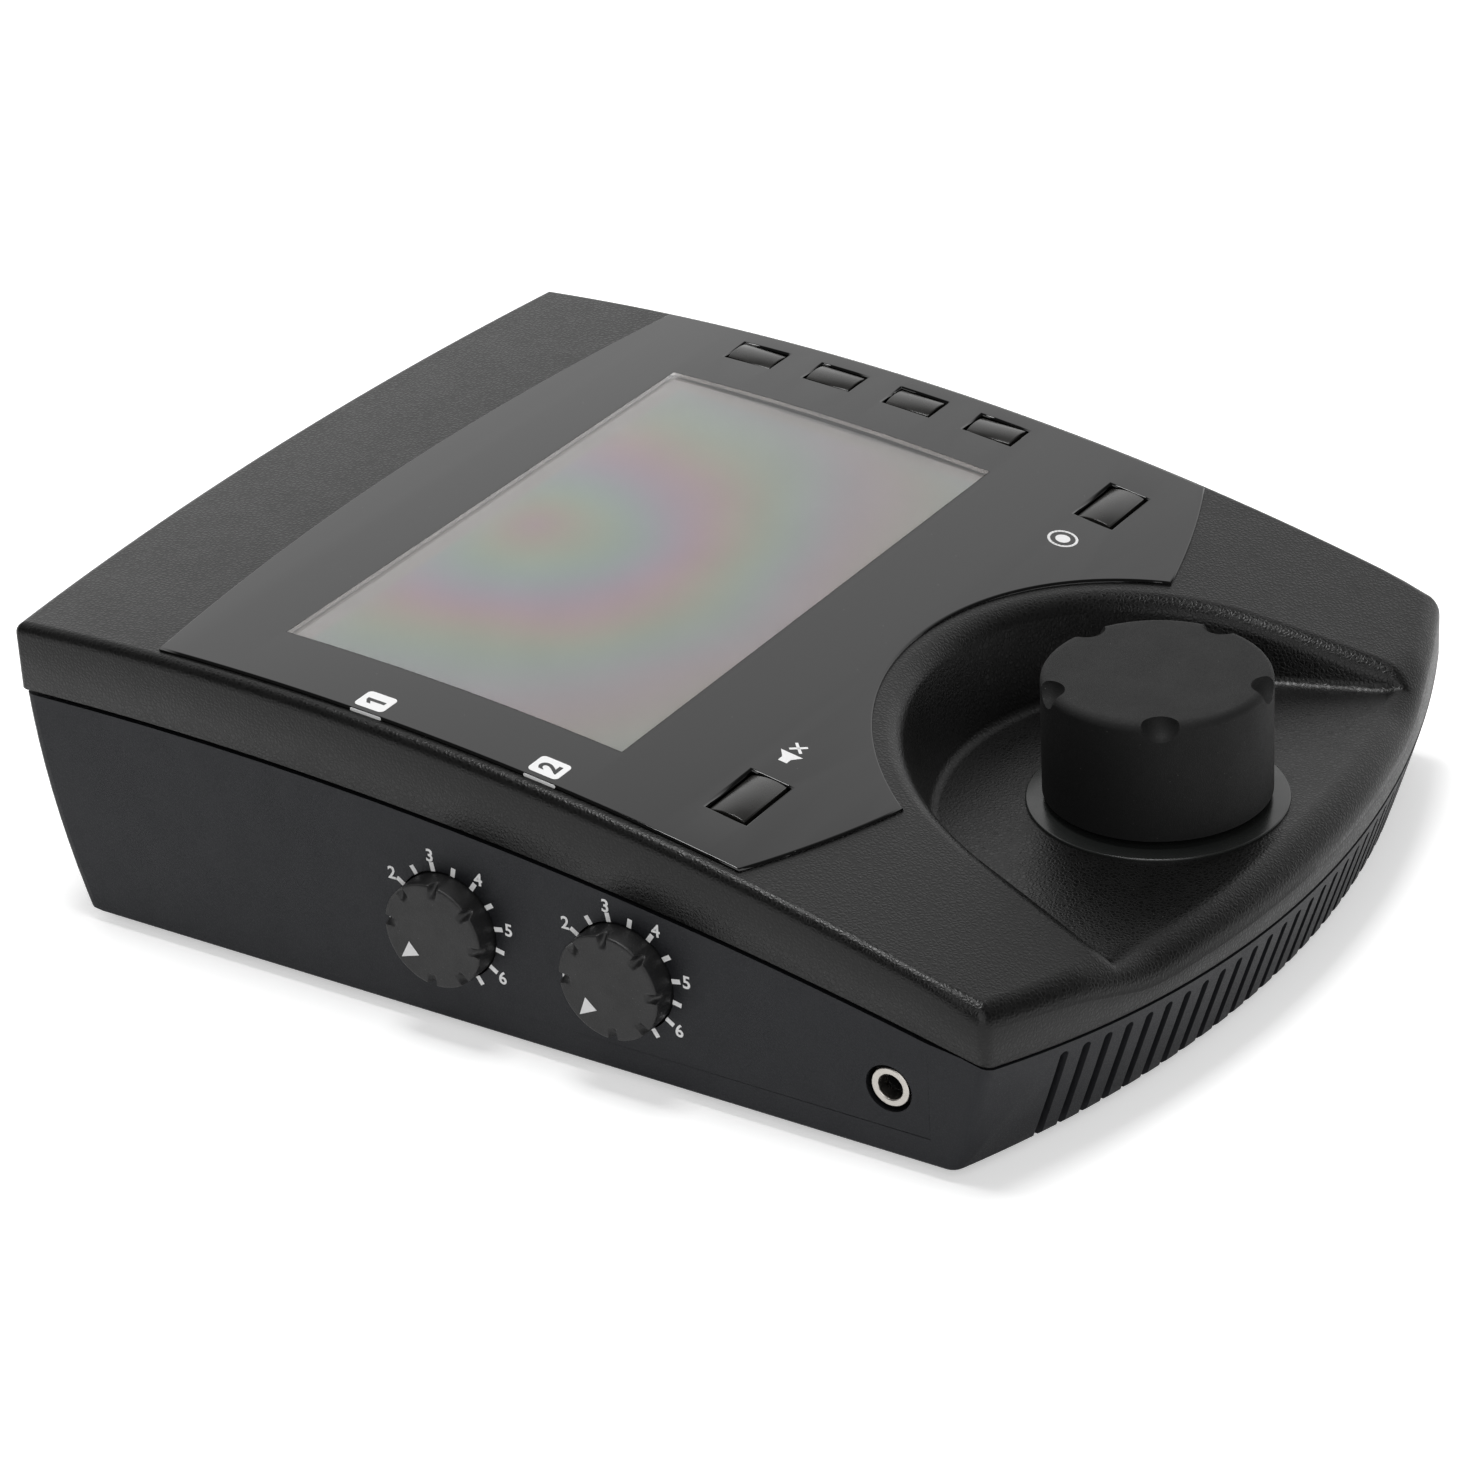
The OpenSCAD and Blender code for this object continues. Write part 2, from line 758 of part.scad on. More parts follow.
// Block in the back wall round all the sockets, drawn in from the opening that takes the plate
module plate_block(inset, y0, y1) {
  x0 = jack_x[0] - jack_nose_r - plate_margin + inset;
  x1 = power_x + power_w / 2 + plate_margin - inset;
  z0 = (main_top - plate_margin / 2 - foot_h) / cos(back_tilt) + inset;
  z1 = (jack_axis_z + jack_nose_r + plate_margin - foot_h) / cos(back_tilt) - inset;
  on_back_wall() translate([x0, y0, z0]) cube([x1 - x0, y1 - y0, z1 - z0]);
}

// Plate round the sockets, set a little into the back wall
module rear_plate() {
  color([0.17, 0.18, 0.19]) difference() {
    plate_block(plate_gap, -plate_sink - plate_t, -plate_sink);
    rear_holes();
  }
}

module rear_holes() {
  y0 = main_back_y - over;
  for (x = jack_x) translate([x, back_y, jack_axis_z]) rotate([90, 0, 0])
    cylinder(r = jack_nose_r + socket_gap, h = back_y - y0);
  translate([network_x - network_w / 2 - socket_gap, y0, main_top - socket_gap])
    cube([network_w + 2 * socket_gap, back_y - y0, network_h + 2 * socket_gap]);
  translate([power_x - power_w / 2 - socket_gap, y0, main_top - socket_gap])
    cube([power_w + 2 * socket_gap, back_y - y0, power_h + 2 * socket_gap]);
}

// Upper shell with the dial's well, the panel's seat and the posts for screws and board
module top_cover() {
  color([0.12, 0.12, 0.125]) difference() {
    union() {
      difference() {
        cover_solid();
        under_seam(-seam_gap / 2);
        cover_hollow();
      }
      cover_bowl();
      for (s = [0, 1]) mirror([s, 0, 0]) cover_rib();
      intersection() {
        under_top(wall / 2);
        cover_posts();
      }
    }
    well_space(0, 0);
    panel_seat();
    on_slope(window_x, window_y)
      block(lcd_w + 2 * lcd_gap, lcd_d + 2 * lcd_gap, -control_depth, control_depth);
    key_holes();
    flange_pockets();
    translate([0, dial_y, well_floor_z - ring_seat]) cylinder(r = ring_r + ring_gap, h = ring_seat + over);
    translate([0, dial_y, well_under_z - over]) cylinder(r = bush_r + bush_hole_gap, h = wall + 2 * over);
    for (p = BOSSES) translate([p[0], p[1], boss_split_z - over])
      cylinder(r = screw_r + screw_bite_gap, h = foot_h + screw_sink + screw_l + 2 * over - boss_split_z);
    for (p = CONTROL_POSTS) on_slope(p[0], p[1]) translate([0, 0, -control_depth - over])
      cylinder(r = control_screw_r + control_screw_gap, h = control_screw_l + over);
  }
}

module cover_hollow() {
  intersection() {
    under_top(wall);
    linear_extrude(foot_h + case_h + over) cover_plan(wall);
  }
}

// Bowl round the well, which reaches down past the seam inside the lower case
module cover_bowl() {
  high = foot_h + case_h + over;
  intersection() {
    well_space(wall, ring_seat + wall);
    under_top(wall / 2);
    union() {
      linear_extrude(high) cover_plan(wall + rib_gap);
      difference() {
        linear_extrude(high) cover_plan(wall / 2);
        under_seam(-seam_gap / 2);
      }
    }
  }
}

// Alignment rib that hangs from the cover's side wall into the lower case
module cover_rib() {
  intersection() {
    translate([side_x - wall - rib_gap - rib_t, rib_front_y, 0]) cube([rib_t, rib_l, case_h]);
    difference() {
      under_seam(-rib_root);
      under_seam(rib_h);
    }
  }
  intersection() {
    translate([side_x - wall - rib_gap - rib_t, rib_front_y, 0]) cube([rib_t + wall, rib_l, case_h]);
    difference() {
      under_seam(-rib_root);
      under_seam(-seam_gap / 2);
    }
  }
}

module cover_posts() {
  for (p = BOSSES) translate([p[0], p[1], boss_split_z + boss_gap]) cylinder(r = boss_r, h = case_h);
  for (p = CONTROL_POSTS) on_slope(p[0], p[1])
    translate([0, 0, -control_depth]) cylinder(r = control_post_r, h = control_depth - wall / 2);
}

module panel_seat() {
  difference() {
    linear_extrude(2 * case_h) panel_plan(-panel_gap);
    under_top(panel_t - panel_proud);
  }
}

// Gloss sheet on the cover, open for the display and the keys
module display_panel() {
  color([0.04, 0.04, 0.045]) difference() {
    intersection() {
      linear_extrude(2 * case_h) difference() {
        panel_plan(0);
        window_plan(0);
      }
      top_sheet(panel_proud, panel_t - panel_proud);
    }
    key_holes();
  }
}

module display_window() {
  color([0.7, 0.75, 0.78]) intersection() {
    linear_extrude(2 * case_h) window_plan(panel_gap / 2);
    top_sheet(panel_proud, panel_t - panel_proud);
  }
}

module lcd_screen() {
  color([0.62, 0.65, 0.64]) on_slope(window_x, window_y) block(lcd_w, lcd_d, -lcd_drop - lcd_t, -lcd_drop);
}

// Frame that carries the display above the control board
module lcd_frame() {
  w = window_w + 2 * lcd_frame_rim;
  d = window_d + 2 * lcd_frame_rim;
  t = lcd_frame_wall;
  low = -control_depth - over;
  high = -lcd_drop - lcd_t;
  color([0.3, 0.31, 0.32]) on_slope(window_x, window_y) difference() {
    block(w, d, -control_depth, high);
    block(w - 2 * t, d - 2 * t, low, high - lcd_frame_t);
    block(w - 6 * t, d - 6 * t, low, 0);
  }
}

// Key cap with a crowned top, a flange under the cover and a stem into its switch
module key_cap(k) {
  x = k[0];
  y = k[1];
  w = k[2];
  l = k[3];
  lift = key_lift(y);
  seat = lift - flange_seat - seat_gap;
  high = lift + panel_proud + key_rise;
  stem_z = -control_depth + switch_h - stem_reach;
  crown = min(w, l) == w ? [90, 0, 0] : [0, 90, 0];
  color([0.42, 0.41, 0.4]) on_slope(x, y) {
    intersection() {
      block(w, l, seat - slab_t, high);
      translate([0, 0, high - key_crown_r]) rotate(crown)
        cylinder(r = key_crown_r, h = 2 * (w + l), center = true, $fn = 2 * $fn);
    }
    block(w + 2 * flange_rim, l + 2 * flange_rim, seat - flange_t, seat);
    translate([0, 0, stem_z]) cylinder(r = stem_r, h = seat - stem_z - flange_t / 2);
  }
}

module softkey_1() { key_cap(KEYS[0]); }
module softkey_2() { key_cap(KEYS[1]); }
module softkey_3() { key_cap(KEYS[2]); }
module softkey_4() { key_cap(KEYS[3]); }
module mute_key() { key_cap(KEYS[4]); }
module record_key() { key_cap(KEYS[5]); }

// Six push switches on the control board
module key_switches() {
  color([0.16, 0.16, 0.17]) for (k = KEYS) on_slope(k[0], k[1]) difference() {
    block(switch_w, switch_w, -control_depth, -control_depth + switch_h);
    translate([0, 0, -control_depth + switch_h - switch_bore])
      cylinder(r = stem_r + stem_gap, h = switch_bore + over);
  }
}

// Board under the display, cut back round the well
module control_board() {
  w = case_w - 2 * control_side;
  y0 = action_y - control_front;
  y1 = softkey_y(0) + control_post_back + control_back;
  ym = (y0 + y1) / 2;
  color([0.08, 0.25, 0.16]) difference() {
    union() {
      on_slope(0, ym) block(w, (y1 - y0) / cos(control_tilt), -control_depth - board_t, -control_depth);
      on_slope(0, ribbon_y)
        block(header_w, header_d, -control_depth - board_t - header_h, -control_depth - board_t + slab_t);
    }
    translate([0, well_y, 0]) cylinder(r = panel_arc_r + control_well_gap, h = case_h, $fn = arc_fn);
    for (p = BOSSES) translate([p[0], p[1], 0]) cylinder(r = boss_r + control_boss_gap, h = case_h);
    for (p = CONTROL_POSTS) on_slope(p[0], p[1]) translate([0, 0, -2 * control_depth])
      cylinder(r = control_hole_r, h = 2 * control_depth);
  }
}

module control_board_screws() {
  z = -control_depth - board_t;
  color([0.55, 0.56, 0.58]) for (p = CONTROL_POSTS) on_slope(p[0], p[1]) translate([0, 0, z]) {
    cylinder(r = control_screw_r, h = control_screw_l);
    difference() {
      translate([0, 0, -control_head_h]) cylinder(r = control_head_r, h = control_head_h);
      cross_slot(control_head_r, -control_head_h);
    }
  }
}

// Cross-shaped driver recess in the underside of a screw head at a height
module cross_slot(r, z) {
  for (a = [0, 90]) rotate([0, 0, a]) block(1.3 * r, 0.35 * r, z - over, z + 0.35 * r);
}

module ribbon_cable() {
  z0 = main_top + header_h;
  z1 = chord_z(ribbon_y) - (control_depth + board_t + header_h) / cos(control_tilt) - ribbon_gap;
  color([0.5, 0.5, 0.48]) translate([0, ribbon_y, 0]) block(ribbon_w, ribbon_t, z0, z1);
}

// Main board on the floor posts, cut round the case screws' posts
module main_board() {
  notch = boss_r + board_boss_gap;
  color([0.07, 0.22, 0.14]) difference() {
    union() {
      translate([-main_x, main_front_y, main_z]) cube([2 * main_x, main_back_y - main_front_y, board_t]);
      translate([0, ribbon_y, 0]) block(header_w, header_d, main_top - slab_t, main_top + header_h);
    }
    for (p = BOSSES) translate([p[0] - (p[0] > 0 ? notch : case_w - notch), p[1] - notch, 0])
      cube([case_w, p[1] > 0 ? case_w : 2 * notch, case_h]);
    for (p = MAIN_POSTS) translate([p[0], p[1], 0])
      cylinder(r = board_screw_r + 2 * board_screw_gap, h = case_h);
  }
}

module main_board_screws() {
  color([0.55, 0.56, 0.58]) for (p = MAIN_POSTS) translate([p[0], p[1], main_top]) {
    translate([0, 0, seat_gap - board_t - board_screw_bite])
      cylinder(r = board_screw_r, h = board_t + board_screw_bite);
    difference() {
      cylinder(r = board_head_r, h = board_head_h);
      translate([0, 0, board_head_h]) mirror([0, 0, 1]) cross_slot(board_head_r, 0);
    }
  }
}

// Dial knob: a hollow drum with a hub for the shaft and thumb notches in its upper rim
module dial_knob() {
  color([0.1, 0.1, 0.1]) translate([0, dial_y, 0]) difference() {
    translate([0, 0, dial_z]) drum(dial_r, dial_h, dial_edge_r);
    difference() {
      translate([0, 0, dial_z - over])
        cylinder(r = dial_r - dial_skirt, h = dial_h - dial_top_t + over, $fn = 2 * $fn);
      translate([0, 0, hub_z]) cylinder(r = hub_r, h = dial_h);
    }
    translate([0, 0, hub_z - over])
      cylinder(r = shaft_r + bore_gap, h = dial_top_z - dial_top_t - hub_z + over);
    for (i = [0 : dial_notches - 1]) rotate([0, 0, notch_turn + i * 360 / dial_notches])
      translate([dial_r, 0, dial_top_z]) rotate([90, 0, 0]) sphere(notch_r);
  }
}

// Pale ring in the well's floor, rising towards the dial knob
module dial_ring() {
  z0 = -ring_seat;
  color([0.5, 0.5, 0.5]) translate([0, dial_y, well_floor_z]) rotate_extrude($fn = 2 * $fn) polygon([
    [ring_hole_r, z0], [ring_r, z0], [ring_r, ring_edge_h], [ring_flat_r, ring_edge_h + ring_rise],
    [ring_hole_r, ring_edge_h + ring_rise]
  ]);
}

// Encoder body with its threaded bush, open below for the rotor
module encoder_housing() {
  color([0.45, 0.46, 0.48]) translate([0, dial_y, encoder_z]) difference() {
    union() {
      block(encoder_w, encoder_w, 0, encoder_h);
      cylinder(r = bush_r, h = encoder_h + bush_l);
    }
    translate([0, 0, -over]) cylinder(r = rotor_r + rotor_gap, h = rotor_space + over);
    cylinder(r = shaft_r + shaft_gap, h = encoder_h + bush_l + over);
  }
}

module encoder_washer() {
  color([0.6, 0.61, 0.62]) translate([0, dial_y, well_floor_z - ring_seat]) difference() {
    cylinder(r = washer_r, h = washer_t);
    translate([0, 0, -over]) cylinder(r = bush_r + bush_hole_gap, h = washer_t + 2 * over);
  }
}

module encoder_nut() {
  color([0.65, 0.66, 0.67]) translate([0, dial_y, well_floor_z - ring_seat + washer_t]) difference() {
    cylinder(r = nut_af / 2 / cos(30), h = nut_h, $fn = 6);
    translate([0, 0, -over]) cylinder(r = bush_r + bore_gap, h = nut_h + 2 * over);
  }
}

// Turning part of the encoder, in which the shaft slides when the dial is pushed
module encoder_rotor() {
  color([0.85, 0.85, 0.83]) translate([0, dial_y, encoder_z + (rotor_space - rotor_h) / 2]) difference() {
    cylinder(r = rotor_r, h = rotor_h);
    translate([0, 0, -over]) cylinder(r = shaft_r + shaft_gap, h = rotor_h + 2 * over);
  }
}

module encoder_shaft() {
  color([0.7, 0.71, 0.72]) translate([0, dial_y, shaft_low_z])
    cylinder(r = shaft_r, h = shaft_top_z - shaft_low_z);
}

module encoder_board() {
  color([0.08, 0.25, 0.16]) translate([0, dial_y, 0])
    block(encoder_board_w, encoder_board_w, encoder_z - board_t, encoder_z);
}

// Pin strip that carries the encoder board above the main board
module encoder_header() {
  color([0.12, 0.12, 0.12]) translate([0, dial_y + encoder_board_w / 2 - encoder_pins_d, 0])
    block(encoder_pins_w, encoder_pins_d, main_top, encoder_z - board_t);
}

// Turns a shape built upwards so that it points out of the left wall, its +X upwards
module out_left(x, y, z) {
  translate([x, y, z]) rotate([0, -90, 0]) children();
}

// Gain knob with notches round its rim and a recess for its pointer
module gain_knob(i) {
  h = gain_back_x - gain_face_x;
  step = 360 / gain_notches;
  color([0.15, 0.15, 0.155]) out_left(gain_back_x, gain_y[i], gain_axis_z)
    rotate([0, 0, -gain_turns[i]]) difference() {
      rotate([0, 0, step / 2]) drum(gain_r, h, gain_edge_r);
      translate([0, 0, -over]) cylinder(r = shaft_r + bore_gap, h = h - gain_bore_end + over);
      for (k = [1 : gain_notches - 1]) rotate([0, 0, k * step])
        translate([gain_r, 0, h]) rotate([90, 0, 0]) sphere(gain_notch_r);
      translate([0, 0, h - pointer_t]) linear_extrude(over)
        polygon([[pointer_tip_r, 0], [pointer_base_r, pointer_w], [pointer_base_r, -pointer_w]]);
    }
}

module gain_knob_1() { gain_knob(0); }
module gain_knob_2() { gain_knob(1); }

module gain_shaft(i) {
  x0 = gain_face_x + gain_bore_end + shaft_end_gap;
  x1 = pot_x + pot_t - pot_end - shaft_end_gap;
  color([0.7, 0.71, 0.72]) out_left(x1, gain_y[i], gain_axis_z) cylinder(r = shaft_r, h = x1 - x0);
}

module gain_shaft_1() { gain_shaft(0); }
module gain_shaft_2() { gain_shaft(1); }

// Gain potentiometer with a short bush towards the wall
module gain_pot(i) {
  color([0.2, 0.3, 0.36]) difference() {
    union() {
      translate([pot_x, gain_y[i] - pot_w / 2, main_top])
        cube([pot_t, pot_w, gain_axis_z + pot_over - main_top]);
      out_left(pot_x + pot_t / 2, gain_y[i], gain_axis_z)
        cylinder(r = pot_bush_r, h = pot_bush_l + pot_t / 2);
    }
    out_left(pot_x + pot_t - pot_end, gain_y[i], gain_axis_z)
      cylinder(r = shaft_r + shaft_gap, h = pot_t + pot_bush_l);
  }
}

module gain_pot_1() { gain_pot(0); }
module gain_pot_2() { gain_pot(1); }

module headphone_jack() {
  color([0.1, 0.1, 0.1]) difference() {
    translate([phones_x, phones_y - phones_w / 2, main_top])
      cube([phones_l, phones_w, phones_axis_z + phones_w / 2 - main_top]);
    out_left(phones_x + phones_l - phones_end, phones_y, phones_axis_z) cylinder(r = phones_r, h = phones_l);
  }
}

module headphone_ferrule() {
  h = side_x - ferrule_sink + phones_x;
  color([0.75, 0.76, 0.77]) out_left(phones_x, phones_y, phones_axis_z) difference() {
    cylinder(r = ferrule_r, h = h);
    translate([0, 0, -over]) cylinder(r = phones_r, h = h + 2 * over);
  }
}

// Turns a shape built upwards so that it points out of the back wall
module out_back(x, y, z) {
  translate([x, y, z]) rotate([-90, 0, 0]) children();
}

// Jack with a round nose in the back wall
module rear_jack(i) {
  y0 = socket_y - jack_l;
  color([0.09, 0.09, 0.095]) difference() {
    union() {
      translate([jack_x[i] - jack_w / 2, y0, main_top]) cube([jack_w, jack_body_y - y0, jack_h]);
      out_back(jack_x[i], jack_body_y - over, jack_axis_z)
        cylinder(r = jack_nose_r, h = socket_y - jack_body_y + over);
    }
    out_back(jack_x[i], y0 + jack_end, jack_axis_z) cylinder(r = jack_r, h = jack_l);
  }
}

module input_jack_1() { rear_jack(0); }
module input_jack_2() { rear_jack(1); }
module output_jack_1() { rear_jack(2); }
module output_jack_2() { rear_jack(3); }

// Network socket with a space for the plug and its latch
module network_socket() {
  color([0.58, 0.59, 0.6]) translate([network_x, socket_y - network_l, main_top]) difference() {
    translate([-network_w / 2, 0, 0]) cube([network_w, network_l, network_h]);
    translate([-plug_w / 2, network_l - plug_deep, plug_lift]) cube([plug_w, plug_deep + over, plug_h]);
    translate([-latch_w / 2, network_l - plug_deep, plug_lift - latch_h])
      cube([latch_w, plug_deep + over, plug_h]);
  }
}

// Power inlet: a round socket with a pin in its middle
module power_inlet() {
  z = main_top + power_h / 2;
  y0 = socket_y - power_l;
  color([0.09, 0.09, 0.095]) {
    difference() {
      translate([power_x - power_w / 2, y0, main_top]) cube([power_w, power_l, power_h]);
      out_back(power_x, socket_y - power_deep, z) cylinder(r = power_r, h = power_deep + over);
    }
    out_back(power_x, socket_y - power_deep - over, z) cylinder(r = power_pin_r, h = power_deep);
  }
}

module rubber_feet() {
  h = foot_h + foot_sink;
  color([0.07, 0.07, 0.07]) for (p = FEET) translate([p[0], p[1], 0]) rotate_extrude() polygon([
    [0, 0], [foot_r - foot_bevel, 0], [foot_r, foot_bevel], [foot_r, h], [0, h]
  ]);
}

module case_screws() {
  color([0.25, 0.25, 0.26]) for (p = BOSSES) translate([p[0], p[1], foot_h + screw_sink]) {
    cylinder(r = screw_r, h = screw_l);
    difference() {
      translate([0, 0, -screw_head_h]) cylinder(r = screw_head_r, h = screw_head_h);
      cross_slot(screw_head_r, -screw_head_h);
    }
  }
}

place() bottom_case();
place() side_plate();
place() top_cover();
place() display_panel();
place() display_window();
place() lcd_screen();
place() lcd_frame();
place() softkey_1();
place() softkey_2();
place() softkey_3();
place() softkey_4();
place() mute_key();
place() record_key();
place() key_switches();
place() control_board();
place() control_board_screws();
place() ribbon_cable();
place() main_board();
place() main_board_screws();
place() dial_knob();
place() dial_ring();
place() encoder_housing();
place() encoder_washer();
place() encoder_nut();
place() encoder_rotor();
place() encoder_shaft();
place() encoder_board();
place() encoder_header();
place() gain_knob_1();
place() gain_knob_2();
place() gain_shaft_1();
place() gain_shaft_2();
place() gain_pot_1();
place() gain_pot_2();
place() headphone_jack();
place() headphone_ferrule();
place() input_jack_1();
place() input_jack_2();
place() output_jack_1();
place() output_jack_2();
place() network_socket();
place() power_inlet();
place() rear_plate();
place() rubber_feet();
place() case_screws();
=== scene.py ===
from math import acos, asin, atan2, cos, degrees, hypot, pi, radians, sin, sqrt, tan

import bmesh
import bpy
import numpy as np
from bmesh.types import BMEdge, BMVert
from bpy.props import FloatProperty, FloatVectorProperty, PointerProperty
from bpy.types import Operator, Panel, PropertyGroup
from mathutils import Matrix, Vector
from mathutils.geometry import delaunay_2d_cdt


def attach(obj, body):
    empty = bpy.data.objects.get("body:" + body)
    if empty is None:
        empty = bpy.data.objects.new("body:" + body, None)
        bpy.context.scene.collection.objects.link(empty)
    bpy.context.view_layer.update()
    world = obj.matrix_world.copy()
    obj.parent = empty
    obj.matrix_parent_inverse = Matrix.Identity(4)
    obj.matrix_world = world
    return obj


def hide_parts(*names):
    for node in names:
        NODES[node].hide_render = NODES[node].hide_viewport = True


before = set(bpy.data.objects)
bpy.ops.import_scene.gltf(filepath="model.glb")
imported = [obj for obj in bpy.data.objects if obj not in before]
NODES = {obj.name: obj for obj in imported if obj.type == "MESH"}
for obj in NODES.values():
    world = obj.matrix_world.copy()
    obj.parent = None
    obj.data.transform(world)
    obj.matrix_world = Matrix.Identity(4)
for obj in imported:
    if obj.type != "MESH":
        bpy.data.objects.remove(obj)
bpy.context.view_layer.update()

bl_info = {
    "name": "Personal monitor mixer",
    "version": (1, 0, 0),
    "blender": (4, 5, 0),
    "location": "View3D > Sidebar > Mixer",
    "description": "Dresses the packed mixer with its mouldings, prints, finishes and studio",
    "category": "Object",
}

# Lengths below are millimetres in the unit's own frame, whose middle plane lies beside the origin
MM = 0.001
MIDDLE = 1.75

# Points of a CAD node nearer than this, in metres, are one
JOIN = 2e-6


def arc_r(half, bow):
    """Radius of an arc from its half width and its bow."""
    return (half**2 + bow**2) / (2 * bow)


# The case: half width, bowed ends and rounded corners
HALF = 65.0
BACK = 84.75
REAR = 89.8
REAR_R = arc_r(HALF, 3.9)
REAR_Y = REAR - REAR_R
FRONT = -81.15
BOW_R = arc_r(HALF, 13.1)
BOW_Y = FRONT + BOW_R
CORNER_BACK = 1.0
BACK_X = HALF - CORNER_BACK
BACK_Y = REAR_Y + sqrt((REAR_R - CORNER_BACK) ** 2 - BACK_X**2)
CORNER_FRONT = 2.0
CORNER_X = HALF - CORNER_FRONT
CORNER_Y = BOW_Y - sqrt((BOW_R - CORNER_FRONT) ** 2 - CORNER_X**2)

# The solid lower case: bottom, front, lean, bows, drop of its rim and of the drawn rim, and back
FOOT_Z = 1.5
SOLID_FRONT = -84.75
SOLID_SEAM_Z = 14.08
SOLID_LEAN = 8.1
SOLID_BOWS = (17.96, 13.6)
SOLID_SEAM_DROP = 0.35
RIM_DROP = 0.12
SOLID_BACK = 84.35
SOLID_BACK_LEAN = 6.8

# How far the back wall bulges, and how deep the moves of front and back reach into the lower case
BULGE = (1.0, 0.3, 5.2)
FRONT_REACH = (4.0, 9.0)
BACK_REACH = (-5.0, -1.2)

# The arched top, the seam with its bevel, the cover's thickness and the flange along its lower edge
TOP_R = 458.0
CREST_Y = BACK - 22.6
CREST_Z = 45.6
SEAM_R = 609.0
SEAM_Y = BACK - 12.0
SEAM_Z = 34.8
SEAM_HALF_GAP = 0.1
SEAM_BEVEL = 0.25
COVER_T = 2.4
FLANGE = 5.0

# The well round the dial: floor, draft of its walls, flanks beside the dial and softness of the floor
DIAL_Y = FRONT + 23.85
WELL_Y = DIAL_Y - 7.7
WELL_R = 37.4
FLOOR_Z = 22.8
DRAFT_TURN = radians(15)
DRAFT = tan(DRAFT_TURN)
WALL_TURN = radians(75)
FLANK = radians(18)
FLANK_L = 44.0
FLOOR_SOFT = 1.2

# Where the cover's edge rounding widens, and where the well's rim fades out in the front lip
FRONT_BAND = (-60.0, -68.0)
LIP_BAND = (-66.0, -74.0)
LIP_SIDES = (60.0, 32.0)
FAINT_HALF = 3.0
FAINT_RISE = (0.3, 1.5)
LIP_FADE = 8.0

# The panel, its window and the keys
PANEL_HALF = 63.0
PANEL_BACK = BACK - 21.95
PANEL_FRONT_R = 162.0
PANEL_FRONT_Y = FRONT + 37.2 + PANEL_FRONT_R
PANEL_REAR = 66.25
PANEL_REAR_R = arc_r(PANEL_HALF, 4.65)
PANEL_REAR_Y = PANEL_REAR - PANEL_REAR_R
PANEL_ARC_R = 44.6
PANEL_RISE = 0.5
PANEL_T = 1.6
WINDOW = (-2.9, PANEL_BACK - 40.99, 96.0, 54.7)
KEY_YS = [PANEL_BACK - 21.2 - i * 13.83 for i in range(4)]
KEYS = [(56.6, y, 5.8, 8.1) for y in KEY_YS] + [(x, DIAL_Y + 33.7, 11.1, 6.2) for x in (-48.6, 48.6)]
KEY_NODES = ("softkey_1", "softkey_2", "softkey_3", "softkey_4", "mute_key", "record_key")
KEY_INSET = 0.12
KEY_SINK = 0.34
KEY_EDGE = 0.16
KEY_TOP_DEPTH = 0.9

# The display's film: coloured rings, and pale strips and shades along its back and right edges
RING_X, RING_Y = -5.0, 40.0
RING_SQUASH = 0.8
RING_PITCH = 23.5
RING_WAVE = 3.4
RING_HUES = (-1.55, -4.1, -5.9)
RING_FADE = (22.0, 50.0)
RING_STRENGTH = (0.26, 0.08)
STRIPS = (3.4, 3.2)
STRIP_BLUR = 0.8
SHADE_REACH = 7.5

# Marks on the panel: printed numbered badges, edge dashes that are painted refraction of the badges seen
# through the panel's clear edge, and the pictograms' places and outlines
BADGES = (("1", -60.0, 27.4), ("2", -59.9, -0.3))
BADGE_W, BADGE_D, BADGE_ROUND = 4.0, 4.7, 0.7
BADGE_DIGIT = 2.9
# The edge dashes are painted refraction: each white badge seen through the panel's clear left edge
EDGE_REFRACTION_W, EDGE_REFRACTION_H, EDGE_REFRACTION_ROUND = 5.0, 0.5, 0.2
EDGE_REFRACTION_AHEAD, EDGE_REFRACTION_DROP = 0.45, 0.27
ONE = [(-0.2, -1.45), (0.4, -1.45), (0.4, 1.45), (-0.15, 1.45), (-0.85, 0.95), (-0.85, 0.35), (-0.2, 0.75)]
SPEAKER = [(-1.5, -0.45), (-0.8, -0.45), (0.1, -1.15), (0.1, 1.15), (-0.8, 0.45), (-1.5, 0.45)]
MUTE_PLACE = (-36.6, -22.6)
MUTE_CROSS_X = 1.2
CROSS_SIZE = (1.7, 0.28)
RECORD_PLACE = (35.8, -22.8)
RECORD_DOT, RECORD_RING = 0.72, 1.35
RECORD_DASH = (0.42, 0.26)
PICTOGRAM_SCALE = 1.5

# The side controls
GAIN_YS = (BACK - 69.9, BACK - 98.0)
GAIN_Z = 16.55
GAIN_TURNS = (-130.0, -138.0)
GAIN_R = 7.75
GAIN_PROUD = 3.5
GAIN_DEPTH = 4.6
GAIN_SECTION = [(r, GAIN_PROUD) for r in (0.0, 5.6, 5.85, 6.0, 6.4, 6.8, 7.1, 7.4)]
GAIN_SECTION += [(7.52, 3.48), (7.64, 3.42), (7.72, 3.3), (GAIN_R, 3.15)]
GAIN_SECTION += [(GAIN_R, -GAIN_DEPTH), (0.0, -GAIN_DEPTH)]
GRIP_TURN = 45.0
GRIP_START = 5.9
GRIP_HALF = 0.7
GRIP_DEPTH = 1.5
POINTER = [(0.0, 7.0), (-1.15, 4.15), (1.15, 4.15)]
SCALE_START, SCALE_STEP, SCALE_TICKS = -146.0, 22.5, 14
LOW_TICKS, LOW_TICK_SHORTER = 4, 0.75
TICK_W = 0.7

